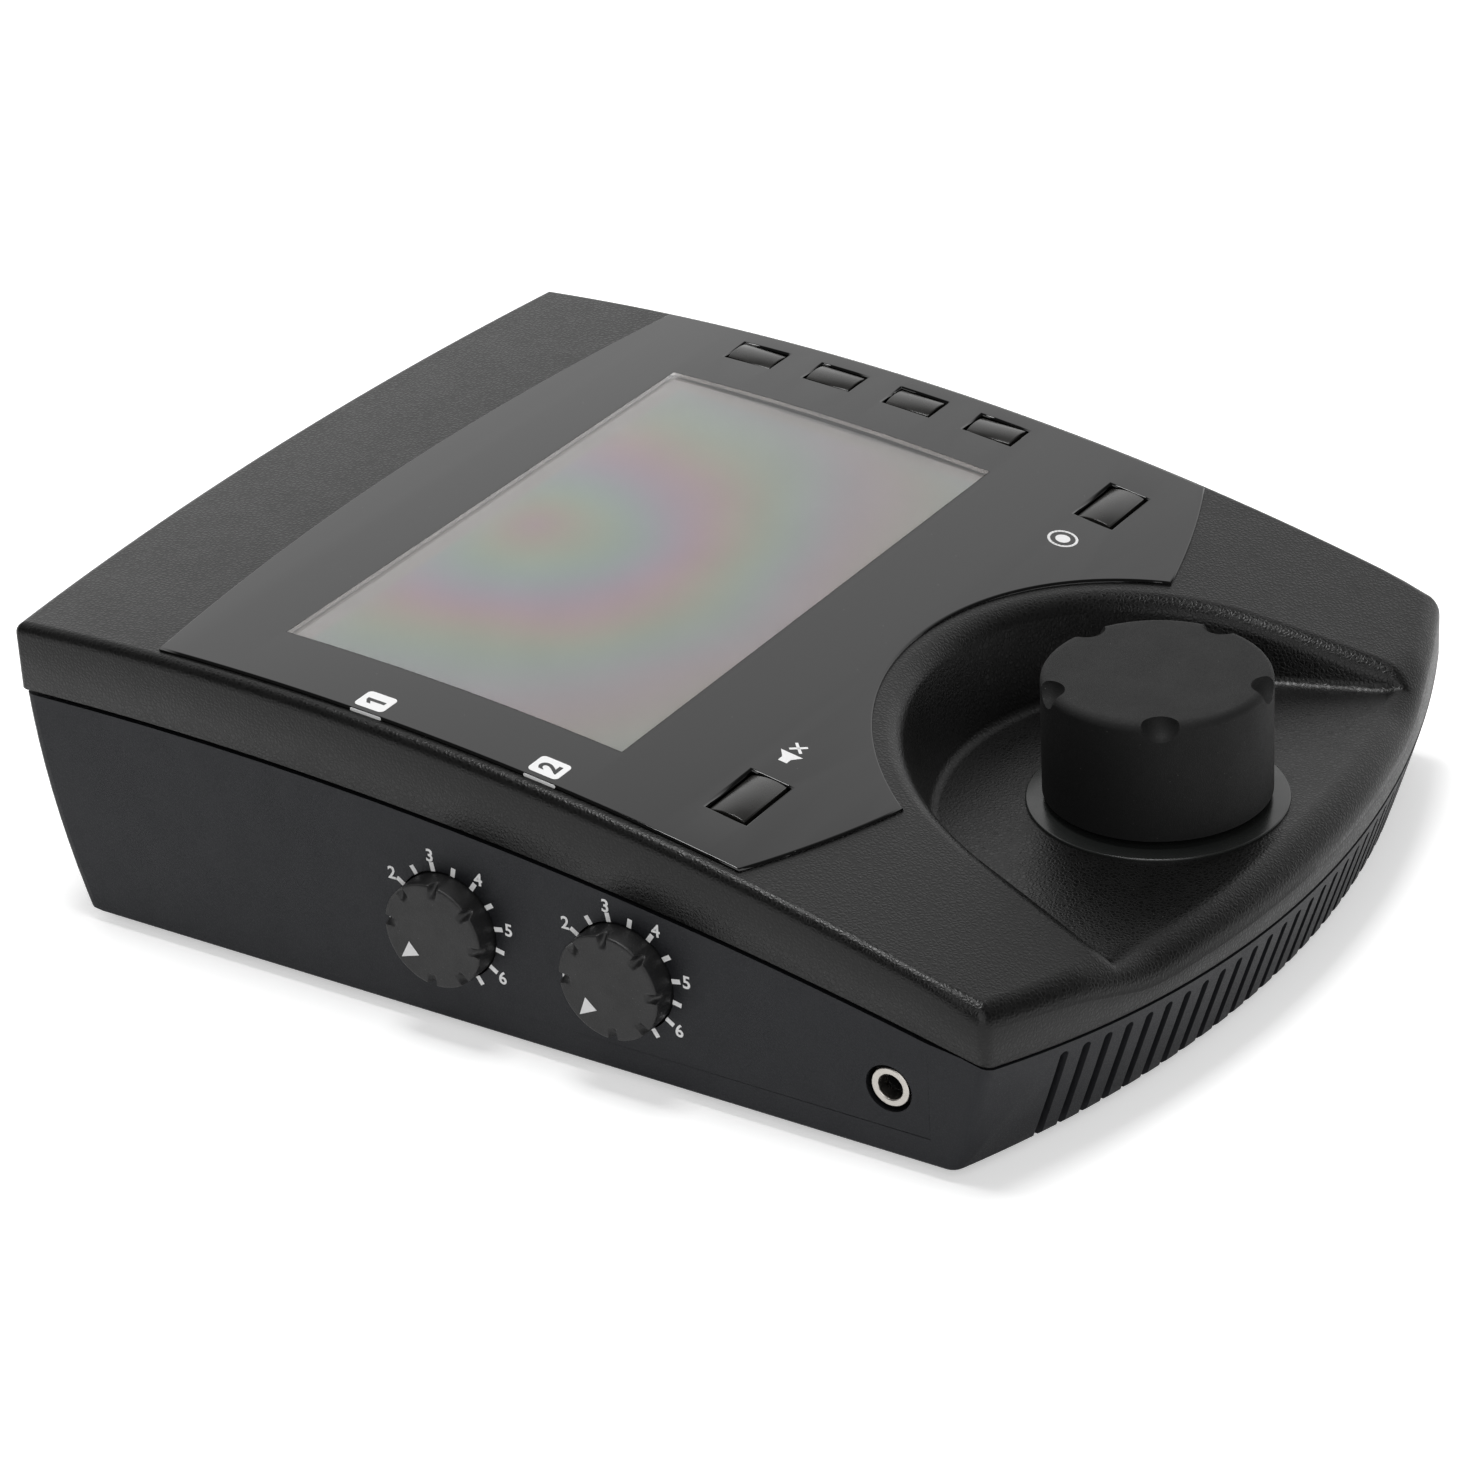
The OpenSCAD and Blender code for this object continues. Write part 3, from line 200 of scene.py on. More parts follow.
# The contacts in the network socket
CONTACTS = 8
CONTACT_X, CONTACT_Y, CONTACT_Z = 32.44, 73.0, 18.6
CONTACT_PITCH = 1.02
CONTACT_SIZE = (0.45, 9.0, 0.3)
CONTACT_TURN = -12.0

# The lamps, in metres and watts: name, place, side and power
LAMPS = (("lamp_top", (0.0, 0.05, 1.0), 0.35, 6.0), ("lamp_fill", (-0.75, -0.5, 0.55), 0.9, 4.0))
LAMP_TARGET = (0.0, 0.0, 0.03)

# The studio: direction of its bright side, bands where this begins and ends, strengths, and the floor
SKY_AHEAD = (0.83, 0.56)
SKY_SIDE = (0.0, 0.6)
SKY_HIGH = (0.6, 0.88, 1.0, 0.1)
SKY_BRIGHT, SKY_DIM = 1.1, 0.1
FLOOR_HALF = 4.0
FLOOR_GLOW, GLOSSY_SHARE = 0.45, 0.35

# The camera, in degrees and metres, with its focal length and picture width in pixels
CAMERA_TURN, CAMERA_RISE, CAMERA_ROLL = -55.76, 28.19, -3.17
CAMERA_TARGET = (0.00175, 0.01185, 0.01571)
CAMERA_DISTANCE = 0.69939
FOCAL_PIXELS, PICTURE_PIXELS = 4903.42, 1460
SENSOR_W = 36.0

# A quarter turn that stands a flat mark up on a left wall
TO_LEFT = Matrix(((0, 0, -1, 0), (-1, 0, 0, 0), (0, 1, 0, 0), (0, 0, 0, 1)))


def top_z(y):
    return CREST_Z - TOP_R + sqrt(TOP_R**2 - (y - CREST_Y) ** 2)


def seam_z(y):
    return SEAM_Z - SEAM_R + sqrt(SEAM_R**2 - (y - SEAM_Y) ** 2)


def put(x, y, z):
    """Place in the frame, in metres, of a point given in the unit's millimetres."""
    return Vector(((x + MIDDLE) * MM, y * MM, z * MM))


def unit(place):
    """Point in the unit's millimetres of a place in the frame."""
    return place.x / MM - MIDDLE, place.y / MM, place.z / MM


# Properties


def length(name, text, default):
    return FloatProperty(name=name, description=text, default=default * MM, unit="LENGTH", precision=5)


def tint(name, text, default):
    return FloatVectorProperty(name=name, description=text, default=default, subtype="COLOR", size=3,
                               min=0, max=1)


class MixerSizes(PropertyGroup):
    edge_round: length("Edge rounding", "Rounding of the cover's upper edges", 1.6)
    front_round: length("Front rounding", "Rounding of the cover's front edge beside the dial", 2.6)
    lip_round: length("Lip rounding", "Rounding of the cover's front lip before the dial", 4.5)
    rim_round: length("Rim rounding", "Rounding of the well's rim", 3.0)
    floor_round: length("Floor rounding", "Rounding where the well's wall meets its floor", 1.6)
    panel_edge: length("Panel edge", "Polished rounding of the panel's edges", 0.3)
    print_rise: length("Print thickness", "How far printed marks stand above their surface", 0.03)
    tick_inner: length("Tick start", "Inner radius of the gain scale's ticks", 8.0)
    tick_outer: length("Tick end", "Outer radius of the gain scale's ticks", 9.35)
    digit_height: length("Digit height", "Height of the gain scale's digits", 1.9)
    digit_radius: length("Digit radius", "Radius on which the gain scale's digits stand", 10.35)


class MixerFinish(PropertyGroup):
    cover: tint("Cover", "Grained plastic of the cover", (0.0018, 0.0018, 0.0017))
    case: tint("Lower case", "Smooth plastic of the lower case", (0.0055, 0.0057, 0.0068))
    panel: tint("Panel", "Gloss plastic of the panel", (0.002, 0.002, 0.002))
    screen: tint("Screen", "Switched-off display", (0.09, 0.079, 0.074))
    key: tint("Keys", "Smoky plastic of the keys", (0.0095, 0.009, 0.008))
    dial: tint("Dial", "Soft rubber of the dial knob", (0.004, 0.0041, 0.0041))
    ring: tint("Ring", "Translucent ring under the dial", (0.016, 0.0172, 0.0165))
    knob: tint("Gain knobs", "Plastic of the gain knobs", (0.007, 0.007, 0.0074))
    # Printed marks, and the painted refraction dashes on the panel's edge, share this white
    mark: tint("Marks", "Printed marks", (0.8, 0.8, 0.8))
    ferrule: tint("Ferrule", "Plated ring of the headphone socket", (0.62, 0.59, 0.55))


def sizes():
    return bpy.context.scene.mixer_sizes


def finish():
    return bpy.context.scene.mixer_finish


# Node building


class Tree:
    """Small helper that adds nodes to a tree and links them; a node stands for its first output."""

    def __init__(self, tree):
        self.tree = tree
        tree.nodes.clear()

    def add(self, kind, inputs=None, **settings):
        node = self.tree.nodes.new(kind)
        for key, value in settings.items():
            setattr(node, key, value)
        for key, value in (inputs or {}).items():
            socket = node.inputs[key]
            if isinstance(value, bpy.types.Node):
                value = value.outputs[0]
            if isinstance(value, bpy.types.NodeSocket):
                self.tree.links.new(value, socket)
            else:
                socket.default_value = value
        return node

    def math(self, operation, a, b=0.0, c=0.0):
        return self.add("ShaderNodeMath", {0: a, 1: b, 2: c}, operation=operation).outputs[0]

    def ramp(self, value, low, high, to_low=0.0, to_high=1.0, smooth=False):
        limits = {"Value": value, "From Min": low, "From Max": high, "To Min": to_low, "To Max": to_high}
        kind = "SMOOTHSTEP" if smooth else "LINEAR"
        node = self.add("ShaderNodeMapRange", limits, interpolation_type=kind, clamp=True)
        return node.outputs["Result"]

    def blend(self, factor, a, b, mode="MIX"):
        a, b = (v if isinstance(v, bpy.types.NodeSocket) else (*v, 1.0) for v in (a, b))
        mix = self.add("ShaderNodeMix", {0: factor, 6: a, 7: b}, data_type="RGBA", blend_type=mode)
        return mix.outputs[2]

    def shared(self, name, **inputs):
        """Outputs of a shared effect."""
        return self.add("ShaderNodeGroup", inputs, node_tree=effect(name)).outputs


def build_grain(t, i):
    place = t.add("ShaderNodeVectorMath", {0: i["Place"], "Scale": i["Scale"]}, operation="SCALE")
    warp = t.add("ShaderNodeTexNoise", {"Vector": place, "Scale": 0.6, "Detail": 2.0})
    shifted = t.add("ShaderNodeVectorMath", {0: warp.outputs["Color"], 1: place}, operation="ADD")
    cells = t.add("ShaderNodeTexVoronoi", {"Vector": shifted, "Scale": 1.0}, feature="DISTANCE_TO_EDGE")
    pebble = t.ramp(cells.outputs["Distance"], 0.0, 0.32, smooth=True)
    fine = t.add("ShaderNodeTexNoise", {"Vector": place, "Scale": 3.1, "Detail": 3.0})
    height = t.math("MULTIPLY_ADD", fine.outputs["Fac"], 0.35, pebble)
    return {"Height": height, "Crease": t.math("SUBTRACT", 1.0, pebble)}


def build_cloud(t, i):
    look = {"Vector": i["Place"], "Scale": i["Scale"], "Detail": 4.0, "Roughness": 0.6}
    noise = t.add("ShaderNodeTexNoise", look)
    value = t.ramp(noise.outputs["Fac"], 0.3, 0.7, smooth=True)
    span = t.math("SUBTRACT", i["High"], i["Low"])
    return {"Value": t.math("MULTIPLY_ADD", value, span, i["Low"])}


def build_dust(t, i):
    cells = t.add("ShaderNodeTexVoronoi", {"Vector": i["Place"], "Scale": i["Scale"]})
    speck = t.ramp(cells.outputs["Distance"], 0.1, 0.16, 1.0, 0.0, smooth=True)
    pick = t.add("ShaderNodeSeparateColor", {0: cells.outputs["Color"]})
    chosen = t.math("GREATER_THAN", pick.outputs[0], t.math("SUBTRACT", 1.0, i["Share"]))
    faint = t.math("MULTIPLY", pick.outputs[1], chosen)
    return {"Mask": t.math("MULTIPLY", speck, faint)}


# Shared effects: how they are built, their numbers and their outputs
EFFECTS = {
    "pebble_grain": (build_grain, {"Scale": 1000.0}, ("Height", "Crease")),
    "cloudy_value": (build_cloud, {"Scale": 40.0, "Low": 0.0, "High": 1.0}, ("Value",)),
    "dust_specks": (build_dust, {"Scale": 600.0, "Share": 0.05}, ("Mask",)),
}


def effect(name):
    """Shader node group that takes a place and numbers, made once."""
    group = bpy.data.node_groups.get(name)
    if group is None:
        build, numbers, outputs = EFFECTS[name]
        group = bpy.data.node_groups.new(name, "ShaderNodeTree")
        group.interface.new_socket("Place", in_out="INPUT", socket_type="NodeSocketVector")
        for label, default in numbers.items():
            socket = group.interface.new_socket(label, in_out="INPUT", socket_type="NodeSocketFloat")
            socket.default_value = default
        for label in outputs:
            group.interface.new_socket(label, in_out="OUTPUT", socket_type="NodeSocketFloat")
        t = Tree(group)
        t.add("NodeGroupOutput", build(t, t.add("NodeGroupInput").outputs))
    return group


def new_material(name):
    """Node material without nodes, and its tree."""
    material = bpy.data.materials.new(name)
    material.use_nodes = True
    return material, Tree(material.node_tree)


def finish_material(name, colour, rough, spread=0.05, grain=0.0, grain_size=0.5, tone=0.12, dust=0.0,
                    dust_size=0.25, **sockets):
    """Moulded, turned or printed finish on Object coordinates: cloudy, with optional grain and dust."""
    if name in bpy.data.materials:
        return bpy.data.materials[name]
    material, t = new_material(name)
    place = t.add("ShaderNodeTexCoord").outputs["Object"]
    look = {key.replace("_", " ").title().replace("Ior", "IOR"): value for key, value in sockets.items()}
    dark = tuple(v * (1 - tone) for v in colour)
    pale = tuple(min(1.0, v * (1 + tone)) for v in colour)
    shade = t.blend(t.shared("cloudy_value", Place=place, Scale=60.0)[0], dark, pale)
    low = max(0.02, rough - spread)
    gloss = t.shared("cloudy_value", Place=place, Scale=210.0, Low=low, High=rough + spread)[0]
    if dust:
        specks = t.shared("dust_specks", Place=place, Scale=1 / (dust_size * MM), Share=dust)
        shade = t.blend(specks[0], shade, (0.22, 0.22, 0.21))
    if grain:
        hide = t.shared("pebble_grain", Place=place, Scale=1 / (grain_size * MM))
        bump = {"Height": hide["Height"], "Strength": 1.0, "Distance": grain * MM}
        look["Normal"] = t.add("ShaderNodeBump", bump)
        gloss = t.math("MULTIPLY_ADD", hide["Crease"], 0.12, gloss)
    shader = t.add("ShaderNodeBsdfPrincipled", {"Base Color": shade, "Roughness": gloss, **look})
    t.add("ShaderNodeOutputMaterial", {"Surface": shader})
    return material


# Mesh building


def slopes(field, x, y, step):
    """How steeply a field grows sideways and in depth at a place."""
    return ((field(x + step, y) - field(x - step, y)) / (2 * step),
            (field(x, y + step) - field(x, y - step)) / (2 * step))


def sheet_normals(mesh, count, height):
    """Gives a mesh's first faces, an arched sheet, the normals of the surface that the height draws."""
    normals = [normal.vector.copy() for normal in mesh.corner_normals]
    for face in mesh.polygons[:count]:
        for loop in face.loop_indices:
            x, y, _ = unit(mesh.vertices[mesh.loops[loop].vertex_index].co)
            slope_x, slope_y = slopes(height, x, y, 0.02)
            normals[loop] = Vector((-slope_x, -slope_y, 1.0)).normalized()
    mesh.normals_split_custom_set(normals)


def solid_copy(node):
    """Mesh of a CAD node with its loose triangles joined."""
    bm = bmesh.new()
    bm.from_mesh(NODES[node].data)
    bmesh.ops.remove_doubles(bm, verts=bm.verts, dist=JOIN)
    return bm


def bevel_edges(bm, edges, by, segments):
    bmesh.ops.bevel(bm, geom=edges, offset=by * MM, affect="EDGES", segments=segments, profile=0.5,
                    material=-1)


def new_object(name, data):
    """Object in the scene that holds the data."""
    holder = bpy.data.objects.new(name, data)
    bpy.context.scene.collection.objects.link(holder)
    return holder


def new_piece(name, bm, material, body, sharp=35.0):
    """Makes an object of a bmesh, smooth but for its sharp edges, and lets it ride on a body."""
    for face in bm.faces:
        face.smooth = True
    for edge in bm.edges:
        if len(edge.link_faces) == 2 and edge.calc_face_angle(0.0) > radians(sharp):
            edge.smooth = False
    mesh = bpy.data.meshes.new(name)
    bm.to_mesh(mesh)
    bm.free()
    mesh.materials.append(material)
    piece = new_object(name, mesh)
    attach(piece, body)
    return piece


def soften_group():
    """Geometry node group that joins loose triangles and shades them smooth up to an angle."""
    group = bpy.data.node_groups.get("soft_shading")
    if group:
        return group
    group = bpy.data.node_groups.new("soft_shading", "GeometryNodeTree")
    group.interface.new_socket("Geometry", in_out="INPUT", socket_type="NodeSocketGeometry")
    group.interface.new_socket("Angle", in_out="INPUT", socket_type="NodeSocketFloat").default_value = 0.6
    group.interface.new_socket("Geometry", in_out="OUTPUT", socket_type="NodeSocketGeometry")
    t = Tree(group)
    source = t.add("NodeGroupInput").outputs
    joined = t.add("GeometryNodeMergeByDistance", {"Geometry": source["Geometry"], "Distance": JOIN})
    faces = t.add("GeometryNodeSetShadeSmooth", {0: joined}, domain="FACE")
    angle = t.add("GeometryNodeInputMeshEdgeAngle")
    flat = t.add("FunctionNodeCompare", {0: angle, 1: source["Angle"]}, data_type="FLOAT",
                 operation="LESS_THAN")
    edges = t.add("GeometryNodeSetShadeSmooth", {0: faces, "Shade Smooth": flat}, domain="EDGE")
    t.add("NodeGroupOutput", {0: edges})
    return group


def dress(nodes, material, angle=32.0, bevel=0.0):
    """Gives CAD nodes a finish, smooth shading and, where asked, soft edges, all by live modifiers."""
    for piece in (NODES[node] for node in nodes.split()):
        piece.data.materials.clear()
        piece.data.materials.append(material)
        if bevel:
            piece.modifiers.new("joined", "WELD").merge_threshold = JOIN
            flat = piece.modifiers.new("flat_faces", "DECIMATE")
            flat.decimate_type = "DISSOLVE"
            flat.angle_limit = radians(0.6)
            edge = piece.modifiers.new("soft_edges", "BEVEL")
            edge.width = bevel * MM
            edge.segments = 3
            edge.limit_method = "ANGLE"
            edge.angle_limit = radians(angle)
        smooth = piece.modifiers.new("soft_shading", "NODES")
        smooth.node_group = soften_group()
        smooth["Socket_1"] = radians(angle)
        piece.modifiers.new("even_shading", "WEIGHTED_NORMAL").keep_sharp = True


def inside(x, y, loop):
    """Whether a point lies inside a closed loop of points."""
    hit = False
    for (x0, y0), (x1, y1) in zip(loop, loop[1:] + loop[:1]):
        if (y0 > y) != (y1 > y) and x < x0 + (y - y0) * (x1 - x0) / (y1 - y0):
            hit = not hit
    return hit


def face_out(bm):
    """Turns the faces of a sheet with its walls outward, so that its top looks up."""
    bmesh.ops.recalc_face_normals(bm, faces=bm.faces)
    if sum(f.normal.z * f.calc_area() for f in bm.faces) < 0:
        bmesh.ops.reverse_faces(bm, faces=bm.faces)


def arched_sheet(outer, closed, open_lines, holes, height):
    """Sheet inside an outer loop, with edges along every given line, lifted to a height."""
    points, edges = [], []
    loops = [outer] + closed + holes
    for i, line in enumerate(loops + open_lines):
        base, count = len(points), len(line)
        points += [Vector(p) for p in line]
        steps = count if i < len(loops) else count - 1
        edges += [(base + k, base + (k + 1) % count) for k in range(steps)]
    flat, _, triangles, *_ = delaunay_2d_cdt(points, edges, [], 0, 1e-4)
    bm = bmesh.new()
    verts = [bm.verts.new(put(p.x, p.y, height(p.x, p.y))) for p in flat]
    for tri in triangles:
        x = sum(flat[i].x for i in tri) / 3
        y = sum(flat[i].y for i in tri) / 3
        if inside(x, y, outer) and not any(inside(x, y, hole) for hole in holes):
            bm.faces.new([verts[i] for i in tri])
    loose = [v for v in bm.verts if not v.link_faces]
    bmesh.ops.delete(bm, geom=loose, context="VERTS")
    face_out(bm)
    return bm


def wall_down(bm, edges, depth):
    """Extrudes edges down to the height that depth gives for each place."""
    grown = bmesh.ops.extrude_edge_only(bm, edges=edges)["geom"]
    for v in (g for g in grown if isinstance(g, BMVert)):
        v.co.z = depth(*unit(v.co)[:2]) * MM
    return [g for g in grown if isinstance(g, BMEdge) and len(g.link_faces) == 1]


def box_loop(x, y, w, d, round_r=0.0):
    """Loop of points round a box, its corners rounded."""
    loop, steps = [], 4
    for cx, cy, start in ((1, 1, 0), (-1, 1, 90), (-1, -1, 180), (1, -1, 270)):
        for i in range(steps + 1 if round_r else 1):
            a = radians(start + (90 * i / steps if round_r else 45))
            loop.append((x + cx * (w / 2 - round_r) + round_r * cos(a),
                         y + cy * (d / 2 - round_r) + round_r * sin(a)))
    return loop


def spaced(a, b, step):
    """Even steps from one value up to, but without, another."""
    count = max(1, round(abs(b - a) / step))
    return [a + (b - a) * i / count for i in range(count)]


def arc(x, y, r, turns):
    """Points of an arc with their outward directions."""
    return [(x + r * cos(a), y + r * sin(a), cos(a), sin(a)) for a in turns]


def mirrored(points):
    """Points of the other half, in the order that goes on round the outline."""
    return [(-x, y, -nx, ny) for x, y, nx, ny in reversed(points)]


# Cover


def cover_outline():
    """Points of the cover's plan and their outward directions, anticlockwise from the front right."""
    turn = atan2(CORNER_Y - BOW_Y, CORNER_X)
    rear = atan2(BACK_Y - REAR_Y, BACK_X)
    half = arc(CORNER_X, CORNER_Y, CORNER_FRONT, [turn * (1 - i / 8) for i in range(9)])
    half += [(HALF, y, 1.0, 0.0) for y in spaced(CORNER_Y, BACK_Y, 4.0)[1:]]
    half += arc(BACK_X, BACK_Y, CORNER_BACK, [rear * i / 8 for i in range(9)])
    back = arc(0.0, REAR_Y, REAR_R, spaced(rear, pi - rear, 0.008)[1:])
    sweep = pi + 2 * turn
    bow = arc(0.0, BOW_Y, BOW_R, [-pi - turn + sweep * i / 64 for i in range(1, 64)])
    return half + back + mirrored(half) + bow


def edge_distance(x, y):
    """Distance of a place on the cover from its outline."""
    ax = abs(x)
    dx, dy = ax - BACK_X, y - BACK_Y
    if dy > 0 and (BACK_Y - REAR_Y) * dx - BACK_X * dy > 0:
        return CORNER_BACK - hypot(dx, dy)
    dx, dy = ax - CORNER_X, y - CORNER_Y
    if dy < 0 and CORNER_X * dy - (CORNER_Y - BOW_Y) * dx > 0:
        return CORNER_FRONT - hypot(dx, dy)
    return min(HALF - ax, REAR_R - hypot(x, y - REAR_Y), BOW_R - hypot(x, y - BOW_Y))


def soft_min(a, b, reach):
    gap = max(reach - abs(a - b), 0.0)
    return min(a, b) - gap * gap / (4 * reach)


def soft_step(low, high, value):
    t = min(1.0, max(0.0, (value - low) / (high - low)))
    return t * t * (3 - 2 * t)


def edge_round(x, y):
    """Rounding of the cover's edge: wider along the front, widest along the lip before the dial."""
    s = sizes()
    front = soft_step(*FRONT_BAND, y)
    lip = soft_step(*LIP_SIDES, abs(x)) * soft_step(*LIP_BAND, y)
    wider = (s.front_round - s.edge_round) * front + (s.lip_round - s.front_round) * lip
    return (s.edge_round + wider) / MM


def well_distance(x, y):
    """Signed distance of a place from the outline of the well's floor."""
    dx, dy = abs(x), y - WELL_Y
    if dx * sin(FLANK) - dy * cos(FLANK) > 0:
        return dx * cos(FLANK) + dy * sin(FLANK) - WELL_R
    return hypot(dx, dy) - WELL_R


def well_steps(h):
    """Roundings of the well and the distances at which its section bends, for a wall height."""
    s = sizes()
    turn = tan(WALL_TURN / 2)
    low, high = s.floor_round / MM, s.rim_round / MM
    share = min(1.0, 0.98 * h / cos(DRAFT_TURN) / ((low + high) * turn))
    low, high = low * share, high * share
    lean = sin(DRAFT_TURN)
    return low, high, (-low * turn, low * turn * lean, h * DRAFT - high * turn * lean,
                       h * DRAFT + high * turn)


def well_rise(d, h):
    """Height above the well's floor at a distance from the floor's outline, for a wall height."""
    if h < 0.02:
        return h
    low, high, (d0, d1, d2, d3) = well_steps(h)
    rise = h
    if d <= d0:
        rise = 0.0
    elif d < d1:
        rise = low - sqrt(max(low**2 - (d - d0) ** 2, 0.0))
    elif d < d2:
        rise = d / DRAFT
    elif d < d3:
        rise = h - high + sqrt(max(high**2 - (d3 - d) ** 2, 0.0))
    faint = h * soft_step(-FAINT_HALF, FAINT_HALF, d)
    return faint + (rise - faint) * soft_step(*FAINT_RISE, h)


def cover_height(x, y):
    top = top_z(y)
    floor = soft_min(FLOOR_Z, top, FLOOR_SOFT)
    d, h = well_distance(x, y), top - floor
    rise = well_rise(d, h)
    r = edge_round(x, y)
    e = max(0.0, edge_distance(x, y))
    faded = h * soft_step(-LIP_FADE, LIP_FADE, d)
    z = floor + rise + (faded - rise) * soft_step(1.4 * r, 0.2 * r, e)
    if e < r:
        z -= r - sqrt(max(r * r - (r - e) ** 2, 0.0))
    return z


def well_lines():
    """Lines that follow the well's outline at the distances where its section bends."""
    nx, ny = cos(FLANK), sin(FLANK)
    flank = [(WELL_R * nx + t * ny, WELL_Y + WELL_R * ny - t * nx, nx, ny)
             for t in spaced(FLANK_L, 0.0, 1.6)]
    bend = arc(0.0, WELL_Y, WELL_R, [FLANK + (pi - 2 * FLANK) * i / 90 for i in range(91)])
    lines = [[] for _ in range(15)]
    for x, y, nx, ny in flank + bend + mirrored(flank):
        top = top_z(y + ny * 4.0)
        h = max(0.03, top - soft_min(FLOOR_Z, top, FLOOR_SOFT))
        *_, (d0, d1, d2, d3) = well_steps(h)
        steps = [d0 + (d1 - d0) * f for f in (0.0, 0.35, 0.65, 0.85, 1.0)]
        steps += [d1 + (d2 - d1) * f for f in (0.33, 0.67)]
        steps += [d2 + (d3 - d2) * f for f in (0.0, 0.05, 0.14, 0.27, 0.42, 0.6, 0.8, 1.0)]
        for line, d in zip(lines, steps):
            line.append((x + nx * d, y + ny * d))
    return lines


def cover_mesh():
    outline = cover_outline()
    outer = [(x, y) for x, y, _, _ in outline]
    shares = [1 - cos(radians(90 * i / 7)) for i in range(1, 8)]
    rings = [[(x - nx * edge_round(x, y) * share, y - ny * edge_round(x, y) * share)
              for x, y, nx, ny in outline] for share in shares]
    side = HALF - 0.1
    rows = [[(-side, y), (side, y)] for y in spaced(-79.0, 86.0, 5.0)]
    x, y, w, d = WINDOW
    holes = [box_loop(x, y, w + 2.0, d + 2.0)] + [box_loop(*key) for key in KEYS]
    bm = arched_sheet(outer, rings, well_lines() + rows, holes, cover_height)
    count = len(bm.faces)
    rim, cut = [], []
    for edge in bm.edges:
        if edge.is_boundary:
            x, y, _ = unit((edge.verts[0].co + edge.verts[1].co) / 2)
            (rim if edge_distance(x, y) < 0.2 else cut).append(edge)
    wall_down(bm, cut, lambda x, y: top_z(y) - COVER_T)
    low = wall_down(bm, rim, lambda x, y: seam_z(y) + SEAM_HALF_GAP + SEAM_BEVEL)
    low = wall_down(bm, low, lambda x, y: seam_z(y) + SEAM_HALF_GAP)
    pull_in(low, SEAM_BEVEL)
    inner = bmesh.ops.extrude_edge_only(bm, edges=low)["geom"]
    pull_in([g for g in inner if isinstance(g, BMEdge) and g.is_boundary], FLANGE)
    face_out(bm)
    return bm, count


def pull_in(edges, by):
    """Moves the ends of edges in from the outline of the case."""
    for v in {v for edge in edges for v in edge.verts}:
        x, y, _ = unit(v.co)
        gx, gy = slopes(edge_distance, x, y, 0.01)
        size = hypot(gx, gy) or 1.0
        v.co.x += gx / size * by * MM
        v.co.y += gy / size * by * MM


class MIXER_OT_cover(Operator):
    """Grained top cover with its well, soft rims and rounded edges"""

    bl_idname = "mixer.cover"
    bl_label = "Top cover"

    def execute(self, context):
        material = finish_material(
            "cover_grained_black", finish().cover, 0.3, spread=0.02, grain=0.022, grain_size=0.62, tone=0.1,
            dust=0.006, dust_size=0.3, specular_ior_level=0.33)
        bm, count = cover_mesh()
        piece = new_piece("cover_moulding", bm, material, "housing", sharp=50.0)
        sheet_normals(piece.data, count, cover_height)
        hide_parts("top_cover")
        return {"FINISHED"}


# Panel and display


def panel_outline(inset):
    """Loop of the panel's plan, drawn in from its outside."""
    half, rear_r = PANEL_HALF - inset, PANEL_REAR_R - inset
    front_r, well_r = PANEL_FRONT_R - inset, PANEL_ARC_R + inset
    gap = PANEL_FRONT_Y - WELL_Y
    along = (gap**2 + well_r**2 - front_r**2) / (2 * gap)
    meet_x, meet_y = sqrt(well_r**2 - along**2), WELL_Y + along
    side_y = PANEL_FRONT_Y - sqrt(front_r**2 - half**2)
    rear = acos(half / rear_r)
    a0, a1 = atan2(meet_y - PANEL_FRONT_Y, meet_x), atan2(side_y - PANEL_FRONT_Y, half)
    right = arc(0.0, WELL_Y, well_r, spaced(pi / 2, atan2(meet_y - WELL_Y, meet_x), 0.03))
    right += arc(0.0, PANEL_FRONT_Y, front_r, spaced(a0, a1, 0.02))
    right += [(half, y, 1.0, 0.0) for y in spaced(side_y, PANEL_REAR_Y + rear_r * sin(rear), 5.0)]
    right += arc(0.0, PANEL_REAR_Y, rear_r, spaced(rear, pi / 2, 0.01))
    whole = right + [(0.0, PANEL_REAR - inset, 0.0, 1.0)] + mirrored(right[1:])
    return [(x, y) for x, y, _, _ in whole]


def panel_distance(x, y):
    """Distance of a place on the panel from its outline or from an opening."""
    gaps = [PANEL_HALF - abs(x), PANEL_REAR_R - hypot(x, y - PANEL_REAR_Y),
            PANEL_FRONT_R - hypot(x, y - PANEL_FRONT_Y), hypot(x, y - WELL_Y) - PANEL_ARC_R]
    gaps += [max(abs(x - kx) - w / 2, abs(y - ky) - d / 2) for kx, ky, w, d in KEYS]
    return min(gaps)


def panel_height(x, y):
    r = sizes().panel_edge / MM
    e = max(0.0, panel_distance(x, y))
    drop = r - sqrt(max(r * r - (r - e) ** 2, 0.0)) if e < r else 0.0
    return top_z(y) + PANEL_RISE - drop


